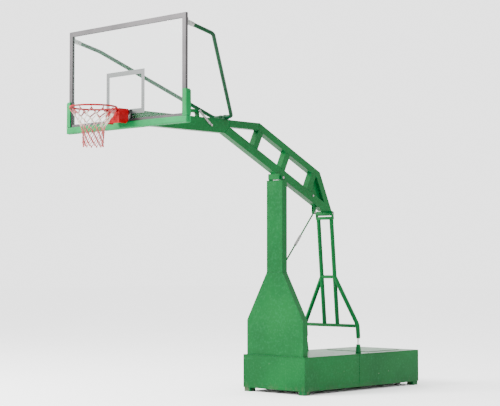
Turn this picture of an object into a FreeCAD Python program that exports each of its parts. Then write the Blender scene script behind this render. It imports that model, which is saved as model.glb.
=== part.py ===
import FreeCAD, Part
import Sketcher
import math
import os
from types import SimpleNamespace

# Portable basketball stand: a ballasted base box, a flat "bottle" column, a trussed boom that
# carries the glass board and the sprung ring, and a rear A-frame that ties the boom to the base.
# Millimetres. Origin on the floor under the middle of the base, +Z up, the court is towards -Y.

V = FreeCAD.Vector
doc = FreeCAD.newDocument("BasketballStand")
sheet = doc.addObject("Spreadsheet::Sheet", "Dimensions")

DIMENSIONS = """
base_length 2100        overall length of the base box
base_width 950          overall width of the base box
base_top 425            height of the box lid above the floor
base_clearance 45       gap under the box wall
shell_wall 3            sheet thickness of the box walls
lid_thickness 4         sheet thickness of the lid
lid_lip 4               overhang of the lid past the walls
hatch_width 640         cover over the ballast, across
hatch_length 600        cover over the ballast, along
hatch_thickness 5       cover plate
hatch_place 560         middle of the cover behind the origin
foot_side 90            square jack foot
foot_height 190         length of a jack foot
foot_floor 12           bottom plate of a jack foot
foot_wall 6             side wall of a jack foot
foot_nut 20             thickness of the nut plate at its top
foot_travel 20          how far a jack foot winds up
anchor_hole 7           floor anchor hole in a jack foot
foot_play 0.5           clearance of a foot in its socket
socket_wall 3           wall of a corner socket
socket_bottom 50        underside of the corner sockets
socket_top 250          top of the corner sockets
bridge_thickness 10     plate that closes a corner socket
jack_radius 12          radius of every adjusting screw
head_radius 19          hexagon head of an adjusting screw, across its corners
head_height 15          height of that head
running_play 0.05       radial clearance of a running fit
cross_depth 60          width of a cross member along the box
cross_height 40         height of a cross member
cross_bottom 140        underside of the cross members
rail_side 40            square section of the two long rails
rail_place 200          middle of a rail beside the origin
weight_width 380        one ballast block, across
weight_length 240       one ballast block, along
weight_height 120       one ballast block, up
weight_gap 10           space between ballast blocks
weight_start 160        first block behind the origin
wheel_radius 50         transport wheel
wheel_width 36          tread width
wheel_lift 10           height of the wheels over the floor while the feet are down
wheel_place 330         wheel beside the origin
wheel_run 820           caster axis before and behind the origin
caster_trail 30         offset of a swivel wheel from its stem
axle_radius 6           wheel axle
hub_radius 15           boss of a wheel
hub_side 20             boss half width
fork_play 2             gap between a wheel boss and a fork leg
fork_plate 5            thickness of a fork leg
fork_depth 40           width of a fork leg
crown_radius 34         round crown of a swivel fork
crown_thickness 6       thickness of a crown or bracket plate
stem_radius 10          swivel stem
head_side 90            square mounting head of a caster
head_thickness 16       thickness of that head
crown_gap 2             gap over the crown
column_front 1030       column front face before the origin
column_depth 80         depth of the column
column_wall 4           plate thickness of the column
column_width 240        width of the straight column
column_foot_width 860   width of the column at the base
column_shoulder 825     height where the foot starts to narrow
column_neck 1375        height where the straight part starts
column_top 2424         top face of the column cap
cap_thickness 8         column cap plate
ear_thickness 12        pivot ear
ear_depth 60            pivot ear, along the boom
ear_height 52           pivot ear above the cap
pivot_rise 28           pivot axis above the cap
pivot_radius 10         pivot pin
pivot_side_play 2       gap beside the pivot block
block_half_width 84     pivot block, half its width
block_front 55          pivot block before the axis
block_rear 35           pivot block behind the axis
block_drop 20           pivot block below the axis
boom_width 80           width of all the boom tubes
boom_wall 5             wall of all the boom tubes
boom_top 3055           top face of the beam
boom_rake 26            slope of the two chords in degrees
beam_height 150         front beam
knee_place 1315         upper knee before the origin
truss_depth 383         outer depth across both chords
upper_height 80         height of the upper chord
lower_height 100        height of the lower chord
post_first 19           first truss post past the knee
post_pitch 506          spacing of the truss posts
post_width 80           width of a truss post
rear_knee_place 280     rear knee before the origin
tip_place 65            rear tip before the origin
tip_height 2095         underside of the rear tip
end_width 80            end post
web_thickness 5         plate in the rear triangle
hinge_place 150         rear hinge axis before the origin
hinge_sleeve_radius 28  outer radius of the rear hinge sleeve
hinge_sleeve_half 115   half length of the rear hinge sleeve
hinge_pin_radius 12     rear hinge pin
hinge_pin_play 1.5      clearance in the rear hinge, which stays free over the tilt
hinge_block_depth 50    saddle block over the sleeve
hinge_ear_thickness 10  ear beside the sleeve
hinge_ear_gap 2         gap between sleeve and ear
hinge_ear_radius 24     round end of the ear
frame_tube_radius 25    rear frame tube
frame_tube_wall 4       its wall
frame_bar_side 36       crossbars of the rear frame
inner_place 100         inner tube beside the middle
outer_place 406         outer leg beside the middle
frame_foot_place 25     foot pivots before the origin
frame_foot_height 620   foot pivots above the floor
frame_low_bar 125       lowest crossbar above the foot pivots
frame_mid_bar 700       middle crossbar above the foot pivots
leg_bend_rise 140       leg bend above the foot pivots
leg_bend_radius 120     bend radius of the outer legs
leg_end_drop 16         end of the legs below the foot pivots
top_bar_gap 10          gap between sleeve and top crossbar
nut_radius 18           nut in the foot of a leg
nut_length 44           nut length
trunnion_radius 7       side pivots of the nut
screw_post_height 105   screw post above the lid
screw_post_low 34       screw post, radius at its foot
screw_post_high 24      screw post, radius at its top
screw_above 48          screw above the foot pivot
anchor_place 915        lower tie rod pin before the origin
anchor_height 1410      lower tie rod pin above the floor
tie_top_place 345       upper tie rod pin before the origin
tie_top_height 2075     upper tie rod pin above the floor
tie_pin_radius 8        tie rod pins
tie_pin_play 1.5        clearance of the upper tie rod eye
tie_radius 9            tie rod
tie_eye_radius 19       eye of a tie rod
tie_eye_width 16        width of an eye
tie_lug_thickness 8     lug plate beside an eye
tie_lug_gap 1           gap between eye and lug
tie_lug_radius 20       round end of a lug
buckle_radius 16        turnbuckle body
buckle_start 365        turnbuckle from the lower pin
buckle_end 510          end of the turnbuckle from the lower pin
buckle_space 55         free space between the rod ends
board_width 1800        backboard, across
board_height 1050       backboard, up
board_bottom 2900       lower edge of the backboard
board_face 3300         front face of the backboard before the origin
rail_width 50           visible width of the frame profile
frame_depth 30          depth of the frame profile
glass_thickness 12      toughened glass
glass_inset 5           glass behind the front of the frame
glass_bite 15           glass held in the profile
glass_play 1            clearance of the glass in its groove
pad_below 48            padding under the board
pad_beside 35           padding beside the board
pad_face 18             padding in front of and behind the board
pad_bottom_cover 25     bottom padding up the face
pad_side_cover 40       side padding over the face
pad_side_height 300     side padding up the board
pad_play 0.5            gap between padding and frame
bracket_width 300       board bracket
bracket_thickness 8     board bracket plate
rim_height 3050         top of the ring
ring_inner 225          inner radius of the ring
ring_bar 9              radius of the ring bar
ring_gap 195            board face to the inside of the ring
hook_radius 8           net hook
hook_wire 2.5           net hook wire radius
hook_count 12           number of net hooks
plate_width 190         rim mounting plate
plate_height 94        rim mounting plate
plate_bottom 2952       lower edge of the mounting plate
plate_thickness 8       rim mounting plate
gasket_thickness 16     rubber behind the plate
bolt_radius 5           rim bolts
bolt_span_across 110    rim bolt spacing, across
bolt_span_up 64         rim bolt spacing, up
rim_axis_out 35         breakaway axis in front of the board
rim_axis_height 2945    breakaway axis above the floor
rim_pin_radius 6        breakaway pin
barrel_radius 12        barrel round that pin
barrel_half 80          half length of the barrel
cheek_thickness 8       cheek that holds the pin
cheek_gap 3             gap between barrel and cheek
spring_place 45         spring beside the middle
spring_height 3018      spring axis above the floor
spring_radius 11        outside of a spring
spring_wire 2.5         spring wall
spring_length 52        spring between plate and washer
washer_radius 14        spring washer
washer_thickness 3      spring washer
slot_width 16           slot for a spring bolt
slot_height 40          slot for a spring bolt
cover_width 210         spring cover
cover_height 150        spring cover
cover_top 3047          top of the spring cover
cover_front 170          front of the cover before the board
cover_back 46           rear edge of the cover before the board
cover_wall 2.5          spring cover sheet
arm_place 72            ring arm beside the middle
arm_thickness 8         ring arm plate
net_taper_length 190    funnel of the net
net_tail_length 185     straight tail of the net
net_top_radius 232      net at its top
net_waist_radius 116    net where the funnel ends
net_low_radius 104      net at its lower end
net_wall 3              thickness of the net stand-in
stay_radius 21          stay tube
stay_wall 3             its wall
stay_end_height 3862    stay end above the floor
stay_bend_place 2894    upper stay bend before the origin
stay_bend_height 3785   upper stay bend above the floor
stay_foot_place 1870    crossing of the stays before the origin
stay_foot_side 133      lower stay bend beside the middle
stay_upper_radius 110   bend radius at the top
stay_lower_radius 62    bend radius at the foot
stay_foot_gap 4         half gap between the two stay ends
clamp_wall 4            wall of a stay socket
clamp_length 85         stay socket
clamp_plate 8           foot plate of a stay socket
clamp_side 50           width of that plate
clamp_rise 74           height of that plate
saddle_height 14         saddle under the stays
saddle_half 62          half width of the saddle
saddle_depth 70         saddle along the boom
level_front 2420        levelling bracket, front end before the origin
level_rear 2250         levelling bracket, rear end before the origin
level_leg 30            its leg
level_bar 35            height of its bar
level_rise 45           underside of the bar above the beam
level_width 40          width of the bracket
link_pin_place 2268     upper link pin before the origin
link_bolt_place 2090    lower link bolt before the origin
link_bolt_drop 80       lower link bolt below the top of the beam
link_bolt_radius 8      link bolts
link_thickness 6        link plate
link_width 26           link plate width
link_gap 1              gap between beam and link
link_head 13            head radius of a cross bolt
link_head_height 8      head height of a cross bolt
rear_bolt_place 405     rear cross bolt before the origin
rear_bolt_drop 28       rear cross bolt above the tie rod lug face
"""


class Size:
    """A length or number as an expression on the spreadsheet, so what uses it stays bound to it."""

    def __init__(self, text):
        self.text = text

    def __float__(self):
        value = sheet.evalExpression(self.text)
        return float(getattr(value, "Value", value))

    def __add__(self, other):
        return Size(f"({self.text} + {words(other)})")

    def __radd__(self, other):
        return Size(f"({words(other)} + {self.text})")

    def __sub__(self, other):
        return Size(f"({self.text} - {words(other)})")

    def __rsub__(self, other):
        return Size(f"({words(other)} - {self.text})")

    def __mul__(self, other):
        return Size(f"({self.text} * {words(other)})")

    def __rmul__(self, other):
        return Size(f"({words(other)} * {self.text})")

    def __truediv__(self, other):
        return Size(f"({self.text} / {words(other)})")

    def __rtruediv__(self, other):
        return Size(f"({words(other)} / {self.text})")

    def __neg__(self):
        return Size(f"(-{self.text})")


def words(value):
    return value.text if isinstance(value, Size) else repr(float(value))


def call(function, *values):
    return Size(f"{function}({'; '.join(words(v) for v in values)})")


def fill_sheet():
    """One row for each driving dimension: its name, its value and what it is."""
    names = {}
    for row, line in enumerate(DIMENSIONS.strip().splitlines(), start=1):
        alias, value, note = line.split(None, 2)
        sheet.set(f"A{row}", alias)
        sheet.set(f"B{row}", value)
        sheet.set(f"C{row}", note)
        sheet.setAlias(f"B{row}", alias)
        names[alias] = Size(f"Dimensions.{alias}")
    doc.recompute()
    return SimpleNamespace(**names)


d = fill_sheet()
nodes = []


# ---------------------------------------------------------------- general building steps

def node(name, item):
    """Name a finished sub-part; it is written to parts/NAME.step at the end."""
    item.Label = name
    nodes.append(item)
    return item


def move(item, x=0.0, y=0.0, z=0.0):
    for axis, value in zip("xyz", (x, y, z)):
        item.setExpression(f"Placement.Base.{axis}", words(value))
    return item


def turn(item, axis, angle):
    """Turn about a direction: a plain number is set, a Size is bound to the sheet."""
    item.Placement = FreeCAD.Placement(item.Placement.Base, FreeCAD.Rotation(V(*axis), float(angle)))
    if isinstance(angle, Size):
        item.setExpression("Placement.Rotation.Angle", angle.text)
    return item


def block(x_span, y_span, z_span):
    """A rectangular block between two values on each axis."""
    item = doc.addObject("Part::Box", "Block")
    for prop, (low, high) in zip(("Length", "Width", "Height"), (x_span, y_span, z_span)):
        item.setExpression(prop, words(high - low))
    return move(item, x_span[0], y_span[0], z_span[0])


def about(middle, length):
    return (middle - length / 2, middle + length / 2)


def rod(radius, start, length, along):
    """A round bar from a start point along X, Y or Z."""
    item = doc.addObject("Part::Cylinder", "Rod")
    item.setExpression("Radius", words(radius))
    item.setExpression("Height", words(length))
    if along == "X":
        turn(item, (0, 1, 0), 90)
    if along == "Y":
        turn(item, (1, 0, 0), -90)
    return move(item, *start)


def cut(base, *tools):
    for tool in tools:
        result = doc.addObject("Part::Cut", "Cut")
        result.Base = base
        result.Tool = tool
        base = result
    return base


def fuse(*shapes):
    result = doc.addObject("Part::MultiFuse", "Fuse")
    result.Shapes = list(shapes)
    return result


def group(*members):
    """Separate solids that share a node."""
    result = doc.addObject("Part::Compound", "Group")
    result.Links = list(members)
    return result


def sketch_on(body, role, points):
    """A closed outline of straight edges, each corner bound to the sheet."""
    sketch = body.newObject("Sketcher::SketchObject", "Outline")
    plane = [f for f in body.Origin.OriginFeatures if f.Role == role][0]
    sketch.AttachmentSupport = [(plane, "")]
    sketch.MapMode = "FlatFace"
    corners = [V(float(u), float(v), 0) for u, v in points]
    edges = []
    for number, corner in enumerate(corners):
        following = corners[(number + 1) % len(corners)]
        edges.append(sketch.addGeometry(Part.LineSegment(corner, following), False))
    for number, edge in enumerate(edges):
        after = edges[(number + 1) % len(edges)]
        sketch.addConstraint(Sketcher.Constraint("Coincident", edge, 2, after, 1))
    for edge, corner, point in zip(edges, corners, points):
        for kind, value, size in (("DistanceX", corner.x, point[0]), ("DistanceY", corner.y, point[1])):
            index = sketch.addConstraint(Sketcher.Constraint(kind, -1, 1, edge, 1, value))
            sketch.setExpression(f"Constraints[{index}]", words(size))
    return sketch


def plate(role, points, thickness, offset=0.0):
    """An outline given an even thickness about its plane."""
    body = doc.addObject("PartDesign::Body", "Plate")
    pad = body.newObject("PartDesign::Pad", "Thickness")
    pad.Profile = sketch_on(body, role, points)
    body.Tip = pad
    pad.Midplane = True
    pad.setExpression("Length", words(thickness))
    normal = {"XY_Plane": "z", "XZ_Plane": "y", "YZ_Plane": "x"}[role]
    return move(body, **{normal: offset})


def box_tube(role, outer, inner, width, wall, offset=0.0):
    """A plate-built tube: an outer outline with its inside taken out from end to end."""
    body = plate(role, outer, width, offset)
    solid = body.Tip
    pocket = body.newObject("PartDesign::Pocket", "Inside")
    pocket.Profile = sketch_on(body, role, inner)
    pocket.Midplane = True
    pocket.setExpression("Length", words(width - 2 * wall))
    body.Tip = pocket
    doc.recompute()
    if not pocket.Shape.Volume < solid.Shape.Volume:
        raise ValueError("the inside of a tube was not taken out")
    return body


def rectangle(u_span, v_span):
    return [(u_span[0], v_span[0]), (u_span[1], v_span[0]), (u_span[1], v_span[1]), (u_span[0], v_span[1])]


def solid_of(name, shape):
    """A sub-part whose shape is worked out here, from sizes read off the sheet."""
    feature = doc.addObject("Part::Feature", name)
    feature.Shape = shape
    return feature


def bent_wire(points, radii):
    """Straight runs joined by tangent arcs."""
    edges = []
    start = points[0]
    for before, corner, after, radius in zip(points, points[1:], points[2:], radii):
        into = (corner - before).normalize()
        out = (after - corner).normalize()
        half = into.getAngle(out) / 2
        reach = radius * math.tan(half)
        first = corner - into * reach
        last = corner + out * reach
        middle = corner + (out - into).normalize() * (radius / math.cos(half) - radius)
        edges.append(Part.LineSegment(start, first).toShape())
        edges.append(Part.Arc(first, middle, last).toShape())
        start = last
    edges.append(Part.LineSegment(start, points[-1]).toShape())
    return Part.Wire(edges)


def bent_tube(points, radii, radius, wall):
    path = bent_wire(points, radii)
    way = points[1] - points[0]
    skins = []
    for size in (radius, radius - wall):
        circle = Part.Wire(Part.Circle(points[0], way, size).toShape())
        skins.append(path.makePipeShell([circle], True, True))
    return skins[0].cut(skins[1])


def straight_tube(start, end, radius, wall=None):
    way = end - start
    outer = Part.makeCylinder(radius, way.Length, start, way)
    if wall is None:
        return outer
    return outer.cut(Part.makeCylinder(radius - wall, way.Length, start, way))


def eye(radius, width, bore, place):
    """A flat round eye across X with its bore."""
    low = V(-width / 2, place.y, place.z)
    disc = Part.makeCylinder(radius, width, low, V(1, 0, 0))
    return disc.cut(Part.makeCylinder(bore, width, low, V(1, 0, 0)))


# ---------------------------------------------------------------- base box

half_width = d.base_width / 2 - d.lid_lip
half_length = d.base_length / 2 - d.lid_lip
inner_width = half_width - d.shell_wall
inner_length = half_length - d.shell_wall
lid_bottom = d.base_top - d.lid_thickness

wall_z = (d.base_clearance, lid_bottom)
walls = [block((inner_width, half_width), (-half_length, half_length), wall_z),
         block((-half_width, -inner_width), (-half_length, half_length), wall_z),
         block((-inner_width, inner_width), (inner_length, half_length), wall_z),
         block((-inner_width, inner_width), (-half_length, -inner_length), wall_z)]
node("base_shell", group(*walls))

full_x = (-d.base_width / 2, d.base_width / 2)
full_y = (-d.base_length / 2, d.base_length / 2)
hatch = block(about(Size("0"), d.hatch_width), about(d.hatch_place, d.hatch_length),
              (d.base_top, d.base_top + d.hatch_thickness))
node("base_lid", group(block(full_x, full_y, (lid_bottom, d.base_top)), hatch))

# Corner sockets, cross members and rails, all welded inside the box.
socket_half = d.foot_side / 2 + d.foot_play + d.socket_wall
corner_x = inner_width - socket_half
corner_y = inner_length - socket_half
foot_inside = d.foot_side / 2 + d.foot_play
bridge_top = d.socket_top + d.bridge_thickness
frame_pieces = []
for side in (-1, 1):
    for end in (-1, 1):
        x, y = corner_x * side, corner_y * end
        tube = block(about(x, 2 * socket_half), about(y, 2 * socket_half), (d.socket_bottom, bridge_top))
        bore = block(about(x, 2 * foot_inside), about(y, 2 * foot_inside), (d.socket_bottom, d.socket_top))
        hole = rod(d.jack_radius, (x, y, d.socket_top), d.bridge_thickness, "Z")
        frame_pieces.append(cut(tube, bore, hole))
cross_top = d.cross_bottom + d.cross_height
for y in (-d.wheel_run, Size("0"), d.wheel_run):
    frame_pieces.append(block((-inner_width, inner_width), about(y, d.cross_depth),
                              (d.cross_bottom, cross_top)))
for side in (-1, 1):
    frame_pieces.append(block(about(d.rail_place * side, d.rail_side), (-inner_length, inner_length),
                              (cross_top, cross_top + d.rail_side)))
node("base_frame", group(*frame_pieces))

weights = []
weight_floor = cross_top + d.rail_side
for side in (-1, 1):
    for row in range(3):
        x = (d.weight_width + d.weight_gap) / 2 * side
        y = d.weight_start + d.weight_length / 2 + (d.weight_length + d.weight_gap) * row
        weights.append(block(about(x, d.weight_width), about(y, d.weight_length),
                             (weight_floor, weight_floor + d.weight_height)))
node("counterweights", group(*weights))


# ---------------------------------------------------------------- jack feet and all adjusting screws

def jack_foot(x, y):
    """A square foot with a nut plate at its top, which its screw winds up and down."""
    inside = d.foot_side - 2 * d.foot_wall
    nut_bottom = d.foot_height - d.foot_nut
    return cut(block(about(x, d.foot_side), about(y, d.foot_side), (Size("0"), d.foot_height)),
               block(about(x, inside), about(y, inside), (d.foot_floor, nut_bottom)),
               rod(d.anchor_hole, (x, y, Size("0")), d.foot_floor, "Z"),
               rod(d.jack_radius + d.running_play, (x, y, nut_bottom), d.foot_nut, "Z"))


screws = []
for side, side_name in ((-1, "left"), (1, "right")):
    for end, end_name in ((-1, "front"), (1, "rear")):
        x, y = corner_x * side, corner_y * end
        node(f"jack_foot_{end_name}_{side_name}", jack_foot(x, y))
        low = d.foot_floor + d.foot_travel + 4
        head = doc.addObject("Part::Prism", "Head")
        head.setExpression("Circumradius", words(d.head_radius))
        head.setExpression("Height", words(d.head_height))
        move(head, x, y, bridge_top)
        screws.append(fuse(rod(d.jack_radius, (x, y, low), bridge_top - low, "Z"), head))
post_top = d.base_top + d.screw_post_height
for side in (-1, 1):
    x = d.outer_place * side
    screws.append(rod(d.jack_radius, (x, -d.frame_foot_place, post_top),
                      d.frame_foot_height + d.screw_above - post_top, "Z"))
node("adjusting_screws", group(*screws))

posts = []
for side in (-1, 1):
    post = doc.addObject("Part::Cone", "Post")
    post.setExpression("Radius1", words(d.screw_post_low))
    post.setExpression("Radius2", words(d.screw_post_high))
    post.setExpression("Height", words(d.screw_post_height))
    posts.append(move(post, d.outer_place * side, -d.frame_foot_place, d.base_top))
node("screw_posts", group(*posts))


# ---------------------------------------------------------------- transport wheels

axle_height = d.wheel_radius + d.wheel_lift
leg_inner = d.hub_side + d.fork_play
leg_outer = leg_inner + d.fork_plate


def wheel(x, y):
    """A moulded wheel: tread, wider boss and a plain bore."""
    tread = rod(d.wheel_radius, (x - d.wheel_width / 2, y, axle_height), d.wheel_width, "X")
    boss = rod(d.hub_radius, (x - d.hub_side, y, axle_height), 2 * d.hub_side, "X")
    bore = rod(d.axle_radius + d.running_play, (x - d.hub_side, y, axle_height), 2 * d.hub_side, "X")
    return cut(fuse(tread, boss), bore)


def fork(x, y, top):
    """Two legs that hold the axle, below a crown."""
    legs = []
    for side in (-1, 1):
        middle = x + (leg_inner + d.fork_plate / 2) * side
        legs.append(block(about(middle, d.fork_plate), about(y, d.fork_depth),
                          (axle_height - d.hub_radius, top)))
    hole = rod(d.axle_radius, (x - leg_outer, y, axle_height), 2 * leg_outer, "X")
    return legs, hole


def axle(x, y):
    return rod(d.axle_radius, (x - leg_outer, y, axle_height), 2 * leg_outer, "X")


head_bottom = d.cross_bottom - d.head_thickness
crown_top = head_bottom - d.crown_gap
crown_bottom = crown_top - d.crown_thickness
mounts = []
for side, side_name in ((-1, "left"), (1, "right")):
    x = d.wheel_place * side
    y = -d.wheel_run
    stem_length = d.head_thickness + d.crown_gap - 1
    legs, hole = fork(x, y + d.caster_trail, crown_bottom)
    crown = rod(d.crown_radius, (x, y, crown_bottom), d.crown_thickness, "Z")
    lap = block(about(x, 2 * leg_outer), about(y + d.caster_trail, d.fork_depth), (crown_bottom, crown_top))
    stem = rod(d.stem_radius, (x, y, crown_top), stem_length, "Z")
    swivel = cut(fuse(crown, lap, stem, *legs), hole)
    node(f"caster_fork_{side_name}", group(swivel, axle(x, y + d.caster_trail)))
    node(f"front_wheel_{side_name}", wheel(x, y + d.caster_trail))
    socket = rod(d.stem_radius + d.running_play, (x, y, head_bottom), d.head_thickness, "Z")
    head = block(about(x, d.head_side), about(y, d.head_side), (head_bottom, d.cross_bottom))
    mounts.append(cut(head, socket))
for side, side_name in ((-1, "left"), (1, "right")):
    x = d.wheel_place * side
    y = d.wheel_run
    legs, hole = fork(x, y, head_bottom)
    bracket = block(about(x, d.head_side), about(y, d.head_side), (head_bottom, d.cross_bottom))
    mounts.append(cut(fuse(bracket, *legs), hole))
    mounts.append(axle(x, y))
    node(f"rear_wheel_{side_name}", wheel(x, y))
node("caster_mounts", group(*mounts))


# ---------------------------------------------------------------- column

column_middle = d.column_depth / 2 - d.column_front
foot_half = d.column_foot_width / 2
neck_half = d.column_width / 2
bottle = [(-foot_half, d.base_top), (foot_half, d.base_top), (foot_half, d.column_shoulder),
          (neck_half, d.column_neck), (-neck_half, d.column_neck), (-foot_half, d.column_shoulder)]
thin = d.column_wall
bottle_inside = [(thin - foot_half, d.base_top), (foot_half - thin, d.base_top),
                 (foot_half - thin, d.column_shoulder), (neck_half - thin, d.column_neck),
                 (thin - neck_half, d.column_neck), (thin - foot_half, d.column_shoulder)]
node("column_housing", box_tube("XZ_Plane", bottle, bottle_inside, d.column_depth, d.column_wall,
                                column_middle))

cap_bottom = d.column_top - d.cap_thickness
node("column_post", box_tube("XZ_Plane", rectangle((-neck_half, neck_half), (d.column_neck, cap_bottom)),
                             rectangle((thin - neck_half, neck_half - thin), (d.column_neck, cap_bottom)),
                             d.column_depth, d.column_wall, column_middle))

# The cap, its two ears and the pin that the boom tips on.
pivot_z = d.column_top + d.pivot_rise
ear_inner = d.block_half_width + d.pivot_side_play
ear_outer = ear_inner + d.ear_thickness
cap = block((-neck_half, neck_half), about(column_middle, d.column_depth), (cap_bottom, d.column_top))
ears = []
for side in (-1, 1):
    middle = (ear_inner + d.ear_thickness / 2) * side
    ears.append(block(about(middle, d.ear_thickness), about(column_middle, d.ear_depth),
                      (d.column_top, d.column_top + d.ear_height)))
pin_span = 2 * ear_outer
pin_hole = rod(d.pivot_radius, (-ear_outer, column_middle, pivot_z), pin_span, "X")
node("pivot_yoke", cut(fuse(cap, *ears), pin_hole))
pin_heads = []
for start in (ear_outer, -ear_outer - d.link_head_height):
    head = doc.addObject("Part::Prism", "Head")
    head.setExpression("Circumradius", words(d.head_radius - 2))
    head.setExpression("Height", words(d.link_head_height))
    turn(head, (0, 1, 0), 90)
    pin_heads.append(move(head, start, column_middle, pivot_z))
pivot_pin = fuse(rod(d.pivot_radius, (-ear_outer, column_middle, pivot_z), pin_span, "X"), *pin_heads)


# ---------------------------------------------------------------- boom

rake = d.boom_rake
slope = call("tan", rake)
steep = call("cos", rake)
knee_y = -d.knee_place
beam_bottom = d.boom_top - d.beam_height


def line(drop):
    """A line parallel to the chords, a drop square to them below the outer top line."""
    return (knee_y, d.boom_top - drop / steep, -slope)


def height_on(path, y):
    return path[1] + path[2] * (y - path[0])


def place_on(path, z):
    return path[0] + (z - path[1]) / path[2]


def meet(one, two):
    y = (two[1] - one[1] + one[2] * one[0] - two[2] * two[0]) / (one[2] - two[2])
    return (y, height_on(one, y))


outer_line = line(Size("0"))
upper_inner = line(d.upper_height)
lower_top = line(d.truss_depth - d.lower_height)
lower_bottom = line(d.truss_depth)
rear_knee = (-d.rear_knee_place, height_on(outer_line, -d.rear_knee_place))
tip = (-d.tip_place, d.tip_height)
end_slope = (tip[1] - rear_knee[1]) / (tip[0] - rear_knee[0])
end_outer = (tip[0], tip[1], end_slope)
end_shift = d.end_width * call("sqrt", 1 + 1 / (end_slope * end_slope))
end_inner = (tip[0] - end_shift, tip[1], end_slope)

upper_soffit = d.boom_top - d.upper_height
head_low = (place_on(lower_bottom, beam_bottom), beam_bottom)
head_high = (place_on(lower_top, upper_soffit), upper_soffit)
knee_outer = (knee_y, d.boom_top)
knee_inner = (place_on(upper_inner, upper_soffit), upper_soffit)
end_top = meet(upper_inner, end_inner)
end_low = meet(lower_top, end_inner)
tip_inner = (end_inner[0], tip[1])
chord_toe = (place_on(lower_bottom, d.tip_height), d.tip_height)


def tube_outline(outer, walls):
    """The inside of a tube: its long edges moved in, its ends left where they are."""
    return [(u + du, v + dv) for (u, v), (du, dv) in zip(outer, walls)]


half_boom = d.boom_width / 2
beam_front = d.bracket_thickness + d.frame_depth - d.board_face
wall = d.boom_wall
lean = wall / steep
still = Size("0")
beam_outer = [(beam_front, beam_bottom), head_low, head_high, (head_high[0], d.boom_top),
              (beam_front, d.boom_top)]
beam_inner = [(beam_front, beam_bottom + wall), (head_low[0], beam_bottom + wall),
              (head_high[0] - wall, upper_soffit), (head_high[0] - wall, d.boom_top - wall),
              (beam_front, d.boom_top - wall)]
beam = box_tube("YZ_Plane", beam_outer, beam_inner, d.boom_width, wall)
bolt_z = d.boom_top - d.link_bolt_drop
bolt_reach = half_boom + d.link_gap + d.link_thickness
link_bolt_hole = rod(d.link_bolt_radius, (-half_boom, -d.link_bolt_place, bolt_z), d.boom_width, "X")
node("front_beam", cut(beam, link_bolt_hole))

front_outer = [head_high, knee_inner, knee_outer, (head_high[0], d.boom_top)]
front_inner = tube_outline(front_outer, [(still, wall), (still, wall), (still, -wall), (still, -wall)])
front_chord = box_tube("YZ_Plane", front_outer, front_inner, d.boom_width, wall)

rear_outer = [knee_outer, knee_inner, end_top, rear_knee]
rear_inner = tube_outline(rear_outer, [(still, -lean), (still, lean), (still, lean), (still, -lean)])
node("upper_chord", group(front_chord, box_tube("YZ_Plane", rear_outer, rear_inner, d.boom_width, wall)))

lower_outer = [head_low, chord_toe, tip_inner, end_low, head_high]
lower_inner = tube_outline(lower_outer, [(still, lean), (still, lean), (still, lean), (still, -lean),
                                         (still, -lean)])
rear_bolt_z = height_on(lower_bottom, -d.rear_bolt_place) + d.lower_height / steep - d.rear_bolt_drop
rear_bolt_hole = rod(d.link_bolt_radius, (-half_boom, -d.rear_bolt_place, rear_bolt_z), d.boom_width, "X")
node("lower_chord", cut(box_tube("YZ_Plane", lower_outer, lower_inner, d.boom_width, wall), rear_bolt_hole))

# Truss posts stand square to the chords.
sine = call("sin", rake)
post_rise = d.truss_depth - d.upper_height - d.lower_height
truss_posts = []
for number in range(3):
    along = d.post_first + d.post_pitch * number
    low_y = knee_y + along * steep - (d.truss_depth - d.lower_height) * sine
    low_z = d.boom_top - along * sine - (d.truss_depth - d.lower_height) * steep
    far_y, far_z = low_y + d.post_width * steep, low_z - d.post_width * sine
    up_y, up_z = post_rise * sine, post_rise * steep
    outer = [(low_y, low_z), (far_y, far_z), (far_y + up_y, far_z + up_z), (low_y + up_y, low_z + up_z)]
    thin_y, thin_z = wall * steep, wall * sine
    inner = [(low_y + thin_y, low_z - thin_z), (far_y - thin_y, far_z + thin_z),
             (far_y - thin_y + up_y, far_z + thin_z + up_z), (low_y + thin_y + up_y, low_z - thin_z + up_z)]
    truss_posts.append(box_tube("YZ_Plane", outer, inner, d.boom_width, wall))
web_low, web_high = (far_y, far_z), (far_y + up_y, far_z + up_z)

end_out = [rear_knee, end_top, end_low, tip_inner, tip]
end_wall = wall * call("sqrt", 1 + 1 / (end_slope * end_slope))
end_in = tube_outline(end_out, [(-end_wall, still), (end_wall, still), (end_wall, still), (end_wall, still),
                                (-end_wall, still)])
node("boom_posts", group(*truss_posts, box_tube("YZ_Plane", end_out, end_in, d.boom_width, wall)))
node("web_plate", plate("YZ_Plane", [web_low, end_low, end_top, web_high], d.web_thickness))

# The block under the lower chord that tips on the pivot pin.
block_front = column_middle - d.block_front
block_rear = column_middle + d.block_rear
block_floor = pivot_z - d.block_drop
pivot_outline = [(block_front, block_floor), (block_rear, block_floor),
                 (block_rear, height_on(lower_bottom, block_rear)),
                 (block_front, height_on(lower_bottom, block_front))]
pivot_bore = rod(d.pivot_radius + d.running_play, (-d.block_half_width, column_middle, pivot_z),
                 2 * d.block_half_width, "X")
node("pivot_block", cut(plate("YZ_Plane", pivot_outline, 2 * d.block_half_width), pivot_bore))

# Rear hinge sleeve under the tip.
hinge_y = -d.hinge_place
hinge_z = d.tip_height - d.hinge_sleeve_radius
sleeve = rod(d.hinge_sleeve_radius, (-d.hinge_sleeve_half, hinge_y, hinge_z), 2 * d.hinge_sleeve_half, "X")
sleeve_block = block((-half_boom, half_boom), about(hinge_y, d.hinge_block_depth), (hinge_z, d.tip_height))
sleeve_bore = rod(d.hinge_pin_radius + d.hinge_pin_play, (-d.hinge_sleeve_half, hinge_y, hinge_z),
                  2 * d.hinge_sleeve_half, "X")
node("rear_hinge_sleeve", cut(fuse(sleeve, sleeve_block), sleeve_bore))


# ---------------------------------------------------------------- rear frame

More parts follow.
